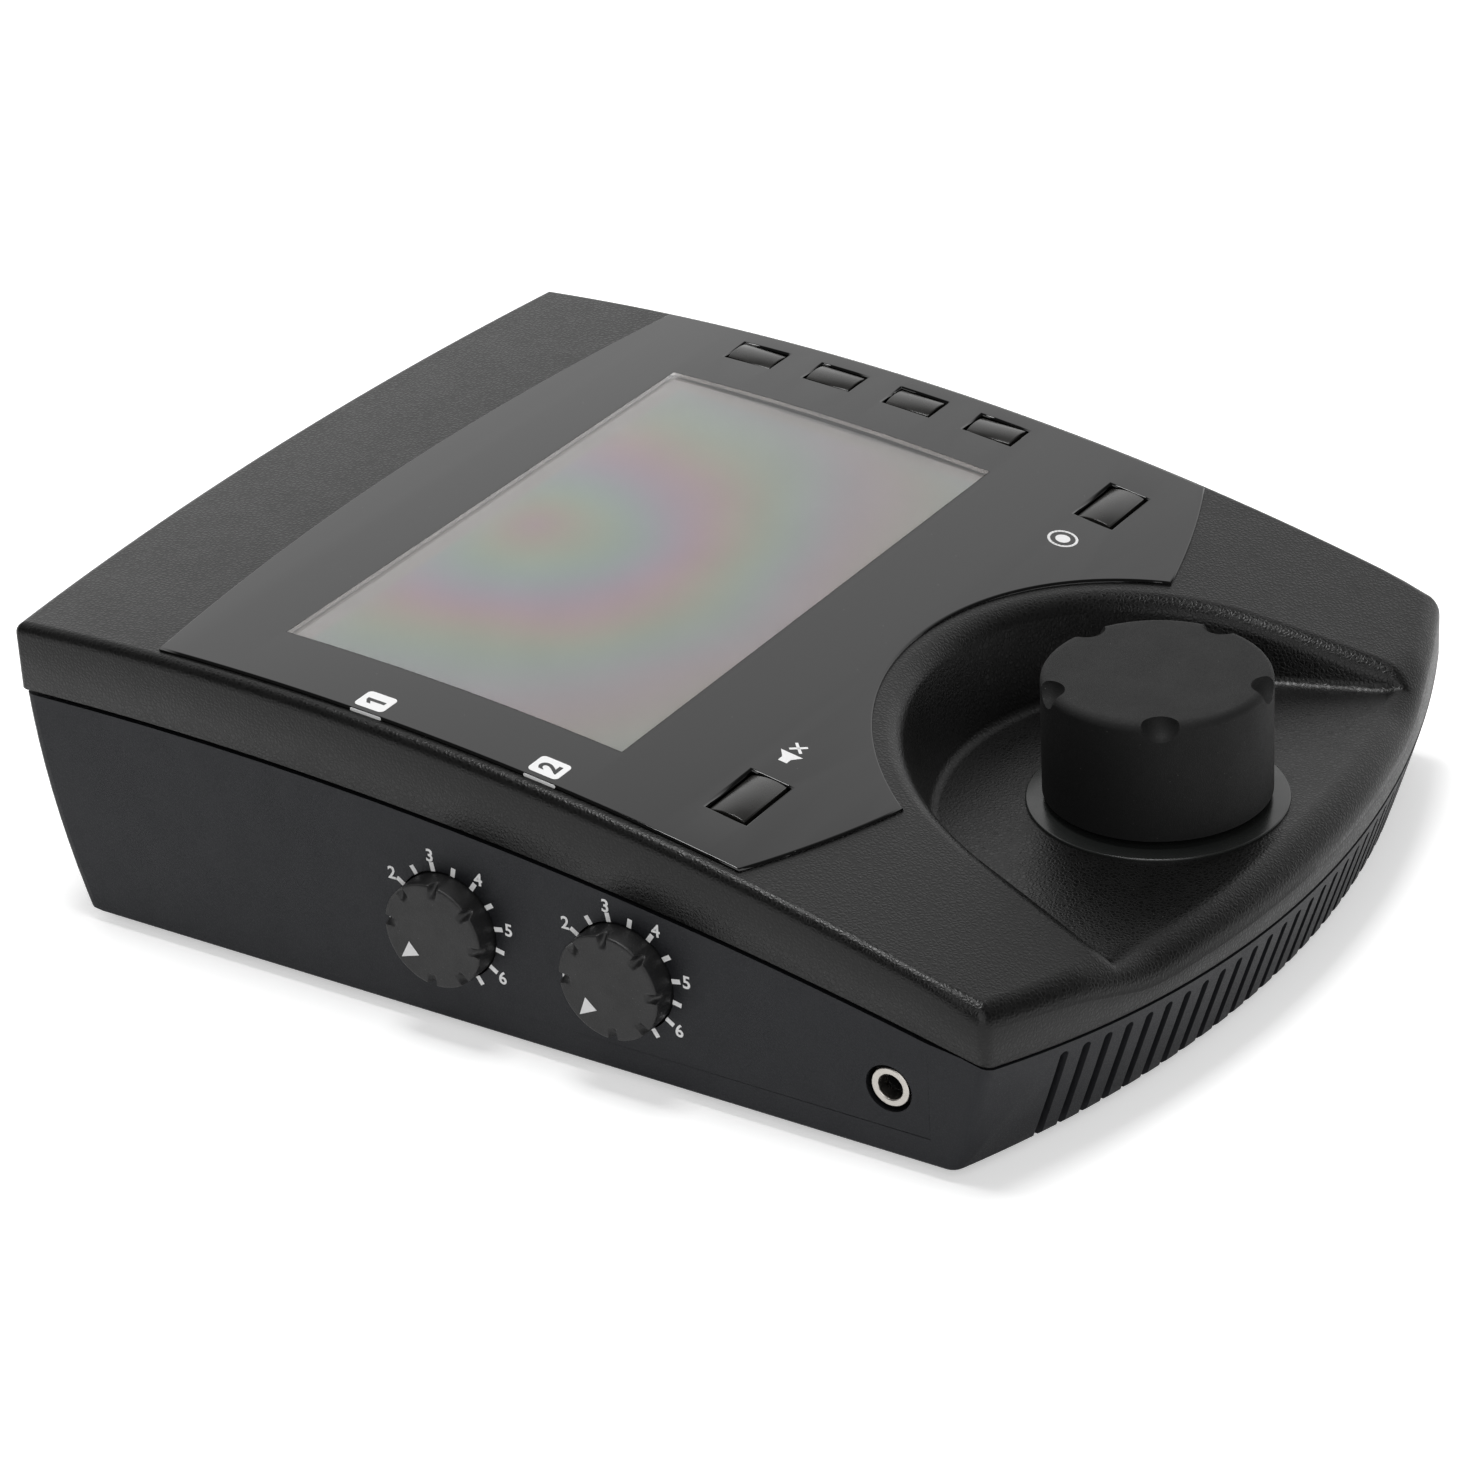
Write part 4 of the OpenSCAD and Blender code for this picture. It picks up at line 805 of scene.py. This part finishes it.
class MIXER_OT_panel(Operator):
    """Gloss panel with polished edges, open for the display and the keys"""

    bl_idname = "mixer.panel"
    bl_label = "Display panel"

    def execute(self, context):
        r = sizes().panel_edge / MM
        steps = [r * (1 - cos(radians(30 * i))) for i in range(1, 4)]
        rings = [panel_outline(e) for e in steps]
        rings += [box_loop(x, y, w + 2 * e, d + 2 * e) for x, y, w, d in KEYS for e in steps]
        side = PANEL_HALF - 0.1
        rows = [[(-side, y), (side, y)] for y in spaced(-38.0, 66.0, 4.0)]
        holes = [box_loop(*WINDOW)] + [box_loop(*key) for key in KEYS]
        bm = arched_sheet(panel_outline(0.0), rings, rows, holes, panel_height)
        count = len(bm.faces)
        wall_down(bm, [e for e in bm.edges if e.is_boundary],
                  lambda x, y: top_z(y) + PANEL_RISE - PANEL_T + 0.02)
        face_out(bm)
        material = finish_material(
            "panel_gloss_black", finish().panel, 0.07, spread=0.015, tone=0.05, dust=0.004, dust_size=0.35)
        piece = new_piece("panel_sheet", bm, material, "housing")
        sheet_normals(piece.data, count, panel_height)
        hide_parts("display_panel")
        return {"FINISHED"}


def screen_material():
    """Switched-off display behind its film: soft coloured rings and paler strips along two edges."""
    material, t = new_material("screen_film")
    place = t.add("ShaderNodeTexCoord").outputs["Object"]
    middle = put(RING_X, RING_Y, 0.0)
    moved = t.add("ShaderNodeMapping", {"Vector": place, "Location": (-middle.x, -middle.y, 0.0)})
    flat = t.add("ShaderNodeSeparateXYZ", {0: moved}).outputs
    wave = t.add("ShaderNodeTexNoise", {"Vector": moved, "Scale": 28.0, "Detail": 1.5}).outputs["Fac"]
    plane = t.add("ShaderNodeCombineXYZ", {"X": t.math("MULTIPLY", flat[0], RING_SQUASH), "Y": flat[1]})
    far = t.add("ShaderNodeVectorMath", {0: plane}, operation="LENGTH").outputs["Value"]
    phase = t.math("ADD", t.math("MULTIPLY", far, 2 * pi / (RING_PITCH * MM)),
                   t.math("MULTIPLY", wave, RING_WAVE))
    bands = [t.math("COSINE", t.math("ADD", phase, shift)) for shift in RING_HUES]
    hues = [t.ramp(band, -1.0, 1.0) for band in bands]
    rainbow = t.add("ShaderNodeCombineColor", {0: hues[0], 1: hues[1], 2: hues[2]}).outputs[0]
    grey = finish().screen
    fading = t.ramp(far, *(v * MM for v in RING_FADE), *RING_STRENGTH, smooth=True)
    tinted = t.blend(fading, grey, rainbow, "SOFT_LIGHT")
    edge = t.add("ShaderNodeSeparateXYZ", {0: place}).outputs
    x, y, w, d = WINDOW
    corner = put(x + w / 2, y + d / 2, 0.0)
    strips, shades = [], []
    for along, end, strip in ((edge[1], corner.y, STRIPS[0]), (edge[0], corner.x, STRIPS[1])):
        inner = end - strip * MM
        strips.append(t.ramp(along, inner, inner + STRIP_BLUR * MM, smooth=True))
        shades.append(t.ramp(along, end - SHADE_REACH * MM, inner, smooth=True))
    shade = t.math("MULTIPLY", t.math("MAXIMUM", *shades), 0.28)
    darker = t.blend(shade, tinted, (0.1, 0.1, 0.1))
    colour = t.blend(t.math("MAXIMUM", *strips), darker, tuple(v * 1.16 for v in grey))
    gloss = t.shared("cloudy_value", Place=place, Scale=300.0, Low=0.3, High=0.36)[0]
    look = {"Base Color": colour, "Roughness": gloss, "Specular IOR Level": 0.2}
    t.add("ShaderNodeOutputMaterial", {"Surface": t.add("ShaderNodeBsdfPrincipled", look)})
    return material


def window_material():
    """Clear plastic that lets lamp light through to the screen."""
    material, t = new_material("window_clear_plastic")
    place = t.add("ShaderNodeTexCoord").outputs["Object"]
    cloud = t.shared("cloudy_value", Place=place, Scale=90.0)[0]
    colour = t.blend(cloud, (0.89, 0.9, 0.9), (0.92, 0.93, 0.93))
    look = {"Base Color": colour, "Roughness": 0.0, "IOR": 1.45, "Transmission Weight": 1.0}
    shader = t.add("ShaderNodeBsdfPrincipled", look)
    clear = t.add("ShaderNodeBsdfTransparent", {"Color": (0.93, 0.94, 0.94, 1.0)})
    rays = t.add("ShaderNodeLightPath").outputs
    mixed = t.add("ShaderNodeMixShader", {0: rays["Is Shadow Ray"], 1: shader, 2: clear})
    t.add("ShaderNodeOutputMaterial", {"Surface": mixed})
    return material


class MIXER_OT_display(Operator):
    """Display behind its clear window"""

    bl_idname = "mixer.display"
    bl_label = "Display"

    def execute(self, context):
        dress("display_window", window_material())
        dress("lcd_screen", screen_material())
        dress("lcd_frame", finish_material("frame_black_plastic", (0.03, 0.03, 0.03), 0.5, grain=0.01))
        return {"FINISHED"}


# Printed marks


def slope_matrix(x, y, rise):
    """Turns a flat mark onto the panel at a place, its top towards the back."""
    spot = put(x, y, top_z(y) + PANEL_RISE + rise)
    return Matrix.Translation(spot) @ Matrix.Rotation(-asin((y - CREST_Y) / TOP_R), 4, "X")


def wall_matrix(y, z, rise):
    """Turns a flat mark onto the left wall at a place, seen upright from outside."""
    return Matrix.Translation(put(-HALF - rise, y, z)) @ TO_LEFT


def add_plate(bm, loop, thick, matrix):
    """Flat mark of an outline in millimetres, as thick as a layer of ink."""
    face = bm.faces.new([bm.verts.new((x * MM, y * MM, 0.0)) for x, y in loop])
    grown = bmesh.ops.extrude_face_region(bm, geom=[face])["geom"]
    top = [g for g in grown if isinstance(g, BMVert)]
    bmesh.ops.translate(bm, vec=(0, 0, thick * MM), verts=top)
    bmesh.ops.transform(bm, matrix=matrix, verts=list(face.verts) + top)


def add_digit(bm, text, height, matrix, thick, bold=0.0):
    """Digit made from the built-in font, its middle at the matrix's origin."""
    curve = bpy.data.curves.new("digit", "FONT")
    curve.body = text
    curve.align_x = curve.align_y = "CENTER"
    curve.size = height / 0.72 * MM
    curve.extrude = thick / 2 * MM
    curve.offset = bold * MM
    curve.resolution_u = 4
    holder = bpy.data.objects.new("digit", curve)
    mesh = bpy.data.meshes.new_from_object(holder)
    xs, ys = zip(*((v.co.x, v.co.y) for v in mesh.vertices))
    middle = ((min(xs) + max(xs)) / 2, (min(ys) + max(ys)) / 2)
    mesh.transform(Matrix.Translation((-middle[0], -middle[1], thick / 2 * MM)))
    mesh.transform(matrix)
    bm.from_mesh(mesh)
    bpy.data.objects.remove(holder)
    bpy.data.curves.remove(curve)
    bpy.data.meshes.remove(mesh)


def finish_print(name, bm, material, body):
    bmesh.ops.remove_doubles(bm, verts=bm.verts, dist=1e-7)
    bmesh.ops.recalc_face_normals(bm, faces=bm.faces)
    new_piece(name, bm, material, body)


def mark_material():
    # White ink of the printed marks, also the colour of the painted refraction dashes on the panel's edge
    return finish_material("white_ink_and_painted_refraction", finish().mark, 0.45, tone=0.04)


def turned(angle, axis="Z"):
    """Turn by degrees, that of a flat mark in its plane unless another axis is named."""
    return Matrix.Rotation(radians(angle), 4, axis)


def moved_by(x, y):
    """Move of a flat mark in its plane, in millimetres."""
    return Matrix.Translation((x * MM, y * MM, 0.0))


class MIXER_OT_panel_marks(Operator):
    """Printed numbered badges, edge dashes of painted refraction of the badges through the panel's edge, and
    the pictograms of the mute and record keys
    """

    bl_idname = "mixer.panel_marks"
    bl_label = "Panel marks"

    def execute(self, context):
        thick = sizes().print_rise / MM
        white, dark = bmesh.new(), bmesh.new()
        for text, x, y in BADGES:
            plate = box_loop(0, 0, BADGE_W, BADGE_D, BADGE_ROUND)
            add_plate(white, plate, thick, slope_matrix(x, y, 0.0))
            if text == "1":
                add_plate(dark, ONE, thick, slope_matrix(x, y, thick))
            else:
                add_digit(dark, text, BADGE_DIGIT, slope_matrix(x, y, thick), thick, bold=0.1)
            # Painted refraction: the badge's white image seen through the panel's clear edge, drawn as a
            # white dash on it
            edge = moved_by(0, -EDGE_REFRACTION_AHEAD) @ slope_matrix(-PANEL_HALF, y, -EDGE_REFRACTION_DROP) @ TO_LEFT
            add_plate(white, box_loop(0, 0, EDGE_REFRACTION_W, EDGE_REFRACTION_H, EDGE_REFRACTION_ROUND), thick, edge)
        larger = Matrix.Diagonal((PICTOGRAM_SCALE, PICTOGRAM_SCALE, 1.0, 1.0))
        mute = slope_matrix(*MUTE_PLACE, 0.0) @ larger
        add_plate(white, SPEAKER, thick, mute)
        for turn in (45, -45):
            cross = mute @ moved_by(MUTE_CROSS_X, 0) @ turned(turn)
            add_plate(white, box_loop(0, 0, *CROSS_SIZE), thick, cross)
        record = slope_matrix(*RECORD_PLACE, 0.0) @ larger
        dot = arc(0.0, 0.0, RECORD_DOT, spaced(0.0, 2 * pi, pi / 16))
        add_plate(white, [point[:2] for point in dot], thick, record)
        for turn in range(0, 360, 15):
            dash = record @ turned(turn) @ moved_by(0, RECORD_RING)
            add_plate(white, box_loop(0, 0, *RECORD_DASH), thick, dash)
        finish_print("panel_marks", white, mark_material(), "housing")
        ink = finish_material("mark_dark_ink", (0.012, 0.012, 0.012), 0.3, tone=0.05)
        finish_print("badge_digits", dark, ink, "housing")
        return {"FINISHED"}


# Lower case, keys, dial, gain controls


def solid_front(x, z):
    """Depth place of the solid lower case's front wall at a sideways place and a height."""
    share = (SOLID_SEAM_Z - z) / (SOLID_SEAM_Z - FOOT_Z)
    r = arc_r(HALF, SOLID_BOWS[0] + (SOLID_BOWS[1] - SOLID_BOWS[0]) * share)
    return SOLID_FRONT + SOLID_LEAN * share + r - sqrt(r * r - x * x)


def front_rim(bm):
    """Upper front edge of the solid lower case: places sideways, leads before its wall and heights."""
    rim = {}
    for v in bm.verts:
        x, y, z = unit(v.co)
        x = abs(x)
        if x < 64.0 and y < -60.0 and abs(z - seam_z(y) + SOLID_SEAM_DROP) < 0.1:
            lead = y - solid_front(x, z)
            if lead < 0.3:
                rim[round(x, 2)] = (lead, z)
    return list(zip(*((x, *rim[x]) for x in sorted(rim))))


def front_place(rim, x, y, z):
    """Depth and height of a point of the solid's front wall, moved to the wall that meets the cover."""
    x = min(HALF, abs(x))
    lead, rim_z = (float(np.interp(x, rim[0], values)) for values in rim[1:])
    share = (z - FOOT_Z) / (rim_z - FOOT_Z)
    low = solid_front(x, FOOT_Z)
    depth = y - low - (solid_front(x, rim_z) + lead - low) * share
    front = BOW_Y - sqrt(BOW_R**2 - x * x)
    pull = 1 - soft_step(*FRONT_REACH, depth)
    new_y = low + (front - low) * share + depth
    new_z = FOOT_Z + (seam_z(front) - RIM_DROP - FOOT_Z) * share
    return y + (new_y - y) * pull, z + (new_z - z) * pull


def back_shift(y, z):
    """How far a point near the solid's back wall moves out, so that the wall rises in a bulging curve."""
    share = (z - FOOT_Z) / (SEAM_Z - FOOT_Z)
    wall = SOLID_BACK - SOLID_BACK_LEAN * (1 - share)
    bulge = BULGE[0] + BULGE[1] * share + BULGE[2] * share * (1 - share)
    return bulge * soft_step(*BACK_REACH, y - wall)


def case_mesh():
    """Copy of the solid lower case with its front drawn in to the cover and its back wall bulging."""
    bm = solid_copy("bottom_case")
    rim = front_rim(bm)
    for z in spaced(4.0, SEAM_Z, 4.0):
        bmesh.ops.bisect_plane(bm, geom=bm.verts[:] + bm.edges[:] + bm.faces[:], dist=1e-6,
                               plane_co=(0, 0, z * MM), plane_no=(0, 0, 1))
    for v in bm.verts:
        x, y, z = unit(v.co)
        if y < -40:
            y, z = front_place(rim, x, y, z)
        elif y > 40:
            y += back_shift(y, z)
        v.co = put(x, y, z)
    return bm


class MIXER_OT_lower_case(Operator):
    """Smooth lower case, side and rear plates and feet"""

    bl_idname = "mixer.lower_case"
    bl_label = "Lower case"

    def execute(self, context):
        material = finish_material(
            "case_satin_charcoal", finish().case, 0.42, spread=0.02, grain=0.006, grain_size=0.35, tone=0.06,
            dust=0.004, dust_size=0.3, specular_ior_level=0.35, specular_tint=(0.92, 0.94, 1.0, 1.0))
        piece = new_piece("lower_case_shell", case_mesh(), material, "housing", sharp=28.0)
        piece.modifiers.new("even_shading", "WEIGHTED_NORMAL").keep_sharp = True
        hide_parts("bottom_case")
        dress("side_plate", material, angle=28.0)
        dress("rear_plate", material, bevel=0.2)
        rubber = finish_material("foot_black_rubber", (0.012, 0.012, 0.012), 0.75, grain=0.02)
        dress("rubber_feet", rubber, bevel=0.2)
        return {"FINISHED"}


def key_mesh(node, key):
    """Copy of a solid key whose top lies almost flush in its hole, with softened upper edges."""
    x, y, w, d = key
    to_panel = slope_matrix(x, y, 0.0)
    bm = solid_copy(node)
    bmesh.ops.transform(bm, matrix=to_panel.inverted(), verts=bm.verts)
    top = {v for v in bm.verts if v.co.z > -KEY_TOP_DEPTH * MM}
    for v in top:
        v.co.x *= 1 - 2 * KEY_INSET / w
        v.co.y *= 1 - 2 * KEY_INSET / d
        v.co.z -= KEY_SINK * MM
    edges = [e for e in bm.edges if e.calc_face_angle(0.0) > 0.6 and top.issuperset(e.verts)]
    bevel_edges(bm, edges, KEY_EDGE, 3)
    bmesh.ops.transform(bm, matrix=to_panel, verts=bm.verts)
    return bm


class MIXER_OT_keys(Operator):
    """Smoky keys, almost flush in their holes"""

    bl_idname = "mixer.keys"
    bl_label = "Keys"

    def execute(self, context):
        material = finish_material(
            "key_smoky_plastic", finish().key, 0.26, spread=0.05, tone=0.15, coat_weight=0.08,
            coat_roughness=0.12, specular_ior_level=0.42)
        for node, key in zip(KEY_NODES, KEYS):
            piece = new_piece(f"{node}_cap", key_mesh(node, key), material, f"{node}_body")
            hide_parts(node)
        return {"FINISHED"}


class MIXER_OT_dial(Operator):
    """Dial knob of soft rubber and the translucent ring under it"""

    bl_idname = "mixer.dial"
    bl_label = "Dial"

    def execute(self, context):
        rubber = finish_material(
            "dial_soft_rubber", finish().dial, 0.62, spread=0.02, grain=0.01, grain_size=0.25, tone=0.08,
            dust=0.02, dust_size=0.3, specular_ior_level=0.32)
        dress("dial_knob", rubber, angle=30.0)
        ring = finish_material("ring_satin_plastic", finish().ring, 0.24, spread=0.03, tone=0.1,
                               specular_ior_level=0.45)
        dress("dial_ring", ring, bevel=0.2)
        return {"FINISHED"}


def knob_mesh(matrix):
    """Gain knob spun from its section, with seven narrow finger grips cut into its rim."""
    bm = bmesh.new()
    verts = [bm.verts.new((0.0, r * MM, z * MM)) for r, z in GAIN_SECTION]
    edges = [bm.edges.new(pair) for pair in zip(verts, verts[1:])]
    bmesh.ops.spin(bm, geom=verts + edges, cent=(0, 0, 0), axis=(0, 0, 1), angle=2 * pi, steps=240,
                   use_merge=True)
    bmesh.ops.remove_doubles(bm, verts=bm.verts, dist=1e-6)
    for v in bm.verts:
        r = hypot(v.co.x, v.co.y) / MM
        turn = degrees(atan2(v.co.x, v.co.y)) % 360.0
        grip = round(turn / GRIP_TURN) * GRIP_TURN
        if v.co.z > 0 and r > GRIP_START and 0.0 < grip < 360.0:
            aside = r * radians(turn - grip) / GRIP_HALF
            v.co.z -= GRIP_DEPTH * (r - GRIP_START) / (GAIN_R - GRIP_START) * max(0.0, 1 - aside**2) * MM
    bmesh.ops.recalc_face_normals(bm, faces=bm.faces)
    bmesh.ops.transform(bm, matrix=matrix, verts=bm.verts)
    return bm


class MIXER_OT_gain_controls(Operator):
    """Gain knobs with their pointers and the printed scales round them"""

    bl_idname = "mixer.gain_controls"
    bl_label = "Gain controls"

    def execute(self, context):
        s = sizes()
        knob = finish_material("knob_satin_black", finish().knob, 0.4, spread=0.05, grain=0.008,
                               grain_size=0.3, tone=0.15, dust=0.01)
        thick = s.print_rise / MM
        inner, outer = s.tick_inner / MM, s.tick_outer / MM
        for i, y in enumerate(GAIN_YS):
            hub = wall_matrix(y, GAIN_Z, 0.0)
            rest = turned(-GAIN_TURNS[i])
            cap = new_piece(f"gain_cap_{i + 1}", knob_mesh(hub @ rest), knob, f"gain_{i + 1}",
                            sharp=40.0)
            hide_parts(f"gain_knob_{i + 1}")
            scale = bmesh.new()
            for tick in range(SCALE_TICKS):
                turn = SCALE_START + SCALE_STEP * tick
                shorter = LOW_TICK_SHORTER if tick < LOW_TICKS else 0.0
                end = outer - shorter
                mark = box_loop(0, (inner + end) / 2, TICK_W, end - inner)
                add_plate(scale, mark, thick, hub @ turned(-turn))
                if tick % 2 == 0:
                    far, a = s.digit_radius / MM - shorter, radians(turn)
                    spot = moved_by(sin(a) * far, cos(a) * far)
                    add_digit(scale, str(tick // 2), s.digit_height / MM, hub @ spot, thick, bold=0.05)
            finish_print(f"gain_scale_{i + 1}", scale, mark_material(), "housing")
            pointer = bmesh.new()
            add_plate(pointer, POINTER, thick, wall_matrix(y, GAIN_Z, GAIN_PROUD) @ rest)
            finish_print(f"gain_pointer_{i + 1}", pointer, mark_material(), f"gain_{i + 1}")
        return {"FINISHED"}


# Sockets and inner pieces


def metal(name, colour, rough):
    return finish_material(name, colour, rough, spread=0.06, tone=0.06, metallic=1.0)


class MIXER_OT_sockets(Operator):
    """Headphone socket and the sockets in the back"""

    bl_idname = "mixer.sockets"
    bl_label = "Sockets"

    def execute(self, context):
        black = finish_material("socket_black_plastic", (0.012, 0.012, 0.012), 0.45, grain=0.008,
                                grain_size=0.3)
        dress("headphone_ferrule", metal("ferrule_plated", finish().ferrule, 0.3), bevel=0.25)
        dress("headphone_jack", black)
        dress("input_jack_1 input_jack_2 output_jack_1 output_jack_2 power_inlet", black, bevel=0.2)
        dress("network_socket", metal("network_shell_plated", (0.55, 0.56, 0.57), 0.3), bevel=0.2)
        contacts = bmesh.new()
        gold = metal("contact_gold", (0.83, 0.62, 0.25), 0.25)
        shape = turned(CONTACT_TURN, "X") @ Matrix.Diagonal((*(v * MM for v in CONTACT_SIZE), 1.0))
        for i in range(CONTACTS):
            place = put(CONTACT_X + (i - (CONTACTS - 1) / 2) * CONTACT_PITCH, CONTACT_Y, CONTACT_Z)
            bmesh.ops.create_cube(contacts, size=1.0, matrix=Matrix.Translation(place) @ shape)
        bevel_edges(contacts, contacts.edges[:], 0.1, 2)
        new_piece("network_contacts", contacts, gold, "housing")
        return {"FINISHED"}


class MIXER_OT_inner_parts(Operator):
    """Boards, cables, screws and the parts of the rotary controls inside the case"""

    bl_idname = "mixer.inner_parts"
    bl_label = "Inner parts"

    def execute(self, context):
        board = finish_material("board_green_lacquer", (0.012, 0.06, 0.03), 0.35, tone=0.2)
        steel = metal("steel_plated", (0.5, 0.5, 0.51), 0.35)
        dark = finish_material("switch_black_plastic", (0.02, 0.02, 0.02), 0.5, grain=0.008)
        dress("control_board main_board encoder_board", board)
        dress("control_board_screws main_board_screws case_screws", steel)
        dress("encoder_washer encoder_nut encoder_shaft gain_shaft_1 gain_shaft_2 encoder_housing", steel)
        dress("key_switches encoder_header", dark)
        dress("ribbon_cable", finish_material("cable_grey", (0.3, 0.3, 0.29), 0.5))
        dress("encoder_rotor", finish_material("rotor_white_plastic", (0.6, 0.6, 0.57), 0.45))
        dress("gain_pot_1 gain_pot_2", finish_material("pot_blue_plastic", (0.03, 0.07, 0.1), 0.45))
        return {"FINISHED"}


# Stage


def area_lamp(name, place, side, power):
    lamp = bpy.data.lights.new(name, "AREA")
    lamp.shape = "RECTANGLE"
    lamp.size = lamp.size_y = side
    lamp.energy = power
    holder = new_object(name, lamp)
    holder.location = place
    holder.rotation_euler = (Vector(LAMP_TARGET) - Vector(place)).to_track_quat("-Z", "Y").to_euler()


class MIXER_OT_stage(Operator):
    """Pale floor, soft studio light and the camera at the photograph's angle"""

    bl_idname = "mixer.stage"
    bl_label = "Stage"

    def execute(self, context):
        scene = context.scene
        scene.view_settings.view_transform = "Standard"
        self.make_world(scene)
        self.make_floor()
        for lamp in LAMPS:
            area_lamp(*lamp)
        self.make_camera(scene)
        return {"FINISHED"}

    def make_world(self, scene):
        world = bpy.data.worlds.new("studio")
        world.use_nodes = True
        scene.world = world
        t = Tree(world.node_tree)
        place = t.add("ShaderNodeTexCoord").outputs["Generated"]
        parts = t.add("ShaderNodeSeparateXYZ", {0: place}).outputs
        ahead = t.math("MULTIPLY_ADD", parts[0], SKY_AHEAD[0], t.math("MULTIPLY", parts[1], SKY_AHEAD[1]))
        side = t.ramp(ahead, *SKY_SIDE, smooth=True)
        high = t.ramp(parts[2], *SKY_HIGH, smooth=True)
        strength = t.math("MULTIPLY_ADD", t.math("MULTIPLY", side, high), SKY_BRIGHT, SKY_DIM)
        light = t.add("ShaderNodeBackground", {"Color": (1, 1, 1, 1), "Strength": strength})
        white = t.add("ShaderNodeBackground", {"Color": (1, 1, 1, 1), "Strength": 1.0})
        rays = t.add("ShaderNodeLightPath").outputs
        mixed = t.add("ShaderNodeMixShader", {0: rays["Is Camera Ray"], 1: light, 2: white})
        t.add("ShaderNodeOutputWorld", {"Surface": mixed})

    def make_floor(self):
        bm = bmesh.new()
        bmesh.ops.create_grid(bm, x_segments=1, y_segments=1, size=FLOOR_HALF)
        mesh = bpy.data.meshes.new("floor")
        bm.to_mesh(mesh)
        bm.free()
        material, t = new_material("floor_white")
        paper = t.add("ShaderNodeBsdfDiffuse", {"Color": (0.9, 0.9, 0.9, 1.0)})
        glow = t.add("ShaderNodeEmission", {"Color": (1, 1, 1, 1), "Strength": FLOOR_GLOW})
        both = t.add("ShaderNodeAddShader", {0: paper, 1: glow})
        rays = t.add("ShaderNodeLightPath").outputs
        seen = t.math("MULTIPLY_ADD", rays["Is Glossy Ray"], GLOSSY_SHARE, rays["Is Camera Ray"])
        seen = t.math("MAXIMUM", seen, rays["Is Transmission Ray"])
        mixed = t.add("ShaderNodeMixShader", {0: seen, 1: paper, 2: both})
        t.add("ShaderNodeOutputMaterial", {"Surface": mixed})
        mesh.materials.append(material)
        floor = new_object("floor", mesh)

    def make_camera(self, scene):
        data = bpy.data.cameras.new("camera")
        data.sensor_width = SENSOR_W
        data.sensor_fit = "HORIZONTAL"
        data.lens = FOCAL_PIXELS * SENSOR_W / PICTURE_PIXELS
        data.clip_start = 0.01
        camera = new_object("camera", data)
        turn = Matrix.Identity(4)
        for angle, axis in ((CAMERA_TURN, "Z"), (90.0 - CAMERA_RISE, "X"), (CAMERA_ROLL, "Z")):
            turn = turn @ turned(angle, axis)
        away = Matrix.Translation((0.0, 0.0, CAMERA_DISTANCE))
        camera.matrix_world = Matrix.Translation(CAMERA_TARGET) @ turn @ away
        scene.camera = camera


class MIXER_PT_pieces(Panel):
    """Lists the mixer's pieces, sizes and finishes"""

    bl_idname = "MIXER_PT_pieces"
    bl_label = "Mixer"
    bl_space_type = "VIEW_3D"
    bl_region_type = "UI"
    bl_category = "Mixer"

    def draw(self, context):
        layout = self.layout
        for operator in OPERATORS:
            layout.operator(operator.bl_idname)
        for group in (context.scene.mixer_sizes, context.scene.mixer_finish):
            box = layout.box()
            for key in group.__annotations__:
                box.prop(group, key)


OPERATORS = (MIXER_OT_cover, MIXER_OT_panel, MIXER_OT_display, MIXER_OT_panel_marks, MIXER_OT_lower_case,
             MIXER_OT_keys, MIXER_OT_dial, MIXER_OT_gain_controls, MIXER_OT_sockets, MIXER_OT_inner_parts,
             MIXER_OT_stage)
CLASSES = (MixerSizes, MixerFinish) + OPERATORS + (MIXER_PT_pieces,)


def register():
    for cls in CLASSES:
        bpy.utils.register_class(cls)
    bpy.types.Scene.mixer_sizes = PointerProperty(type=MixerSizes)
    bpy.types.Scene.mixer_finish = PointerProperty(type=MixerFinish)


def unregister():
    del bpy.types.Scene.mixer_finish
    del bpy.types.Scene.mixer_sizes
    for cls in reversed(CLASSES):
        bpy.utils.unregister_class(cls)


def main():
    register()
    for operator in OPERATORS:
        group, name = operator.bl_idname.split(".")
        getattr(getattr(bpy.ops, group), name)()


if __name__ == "__main__":
    main()
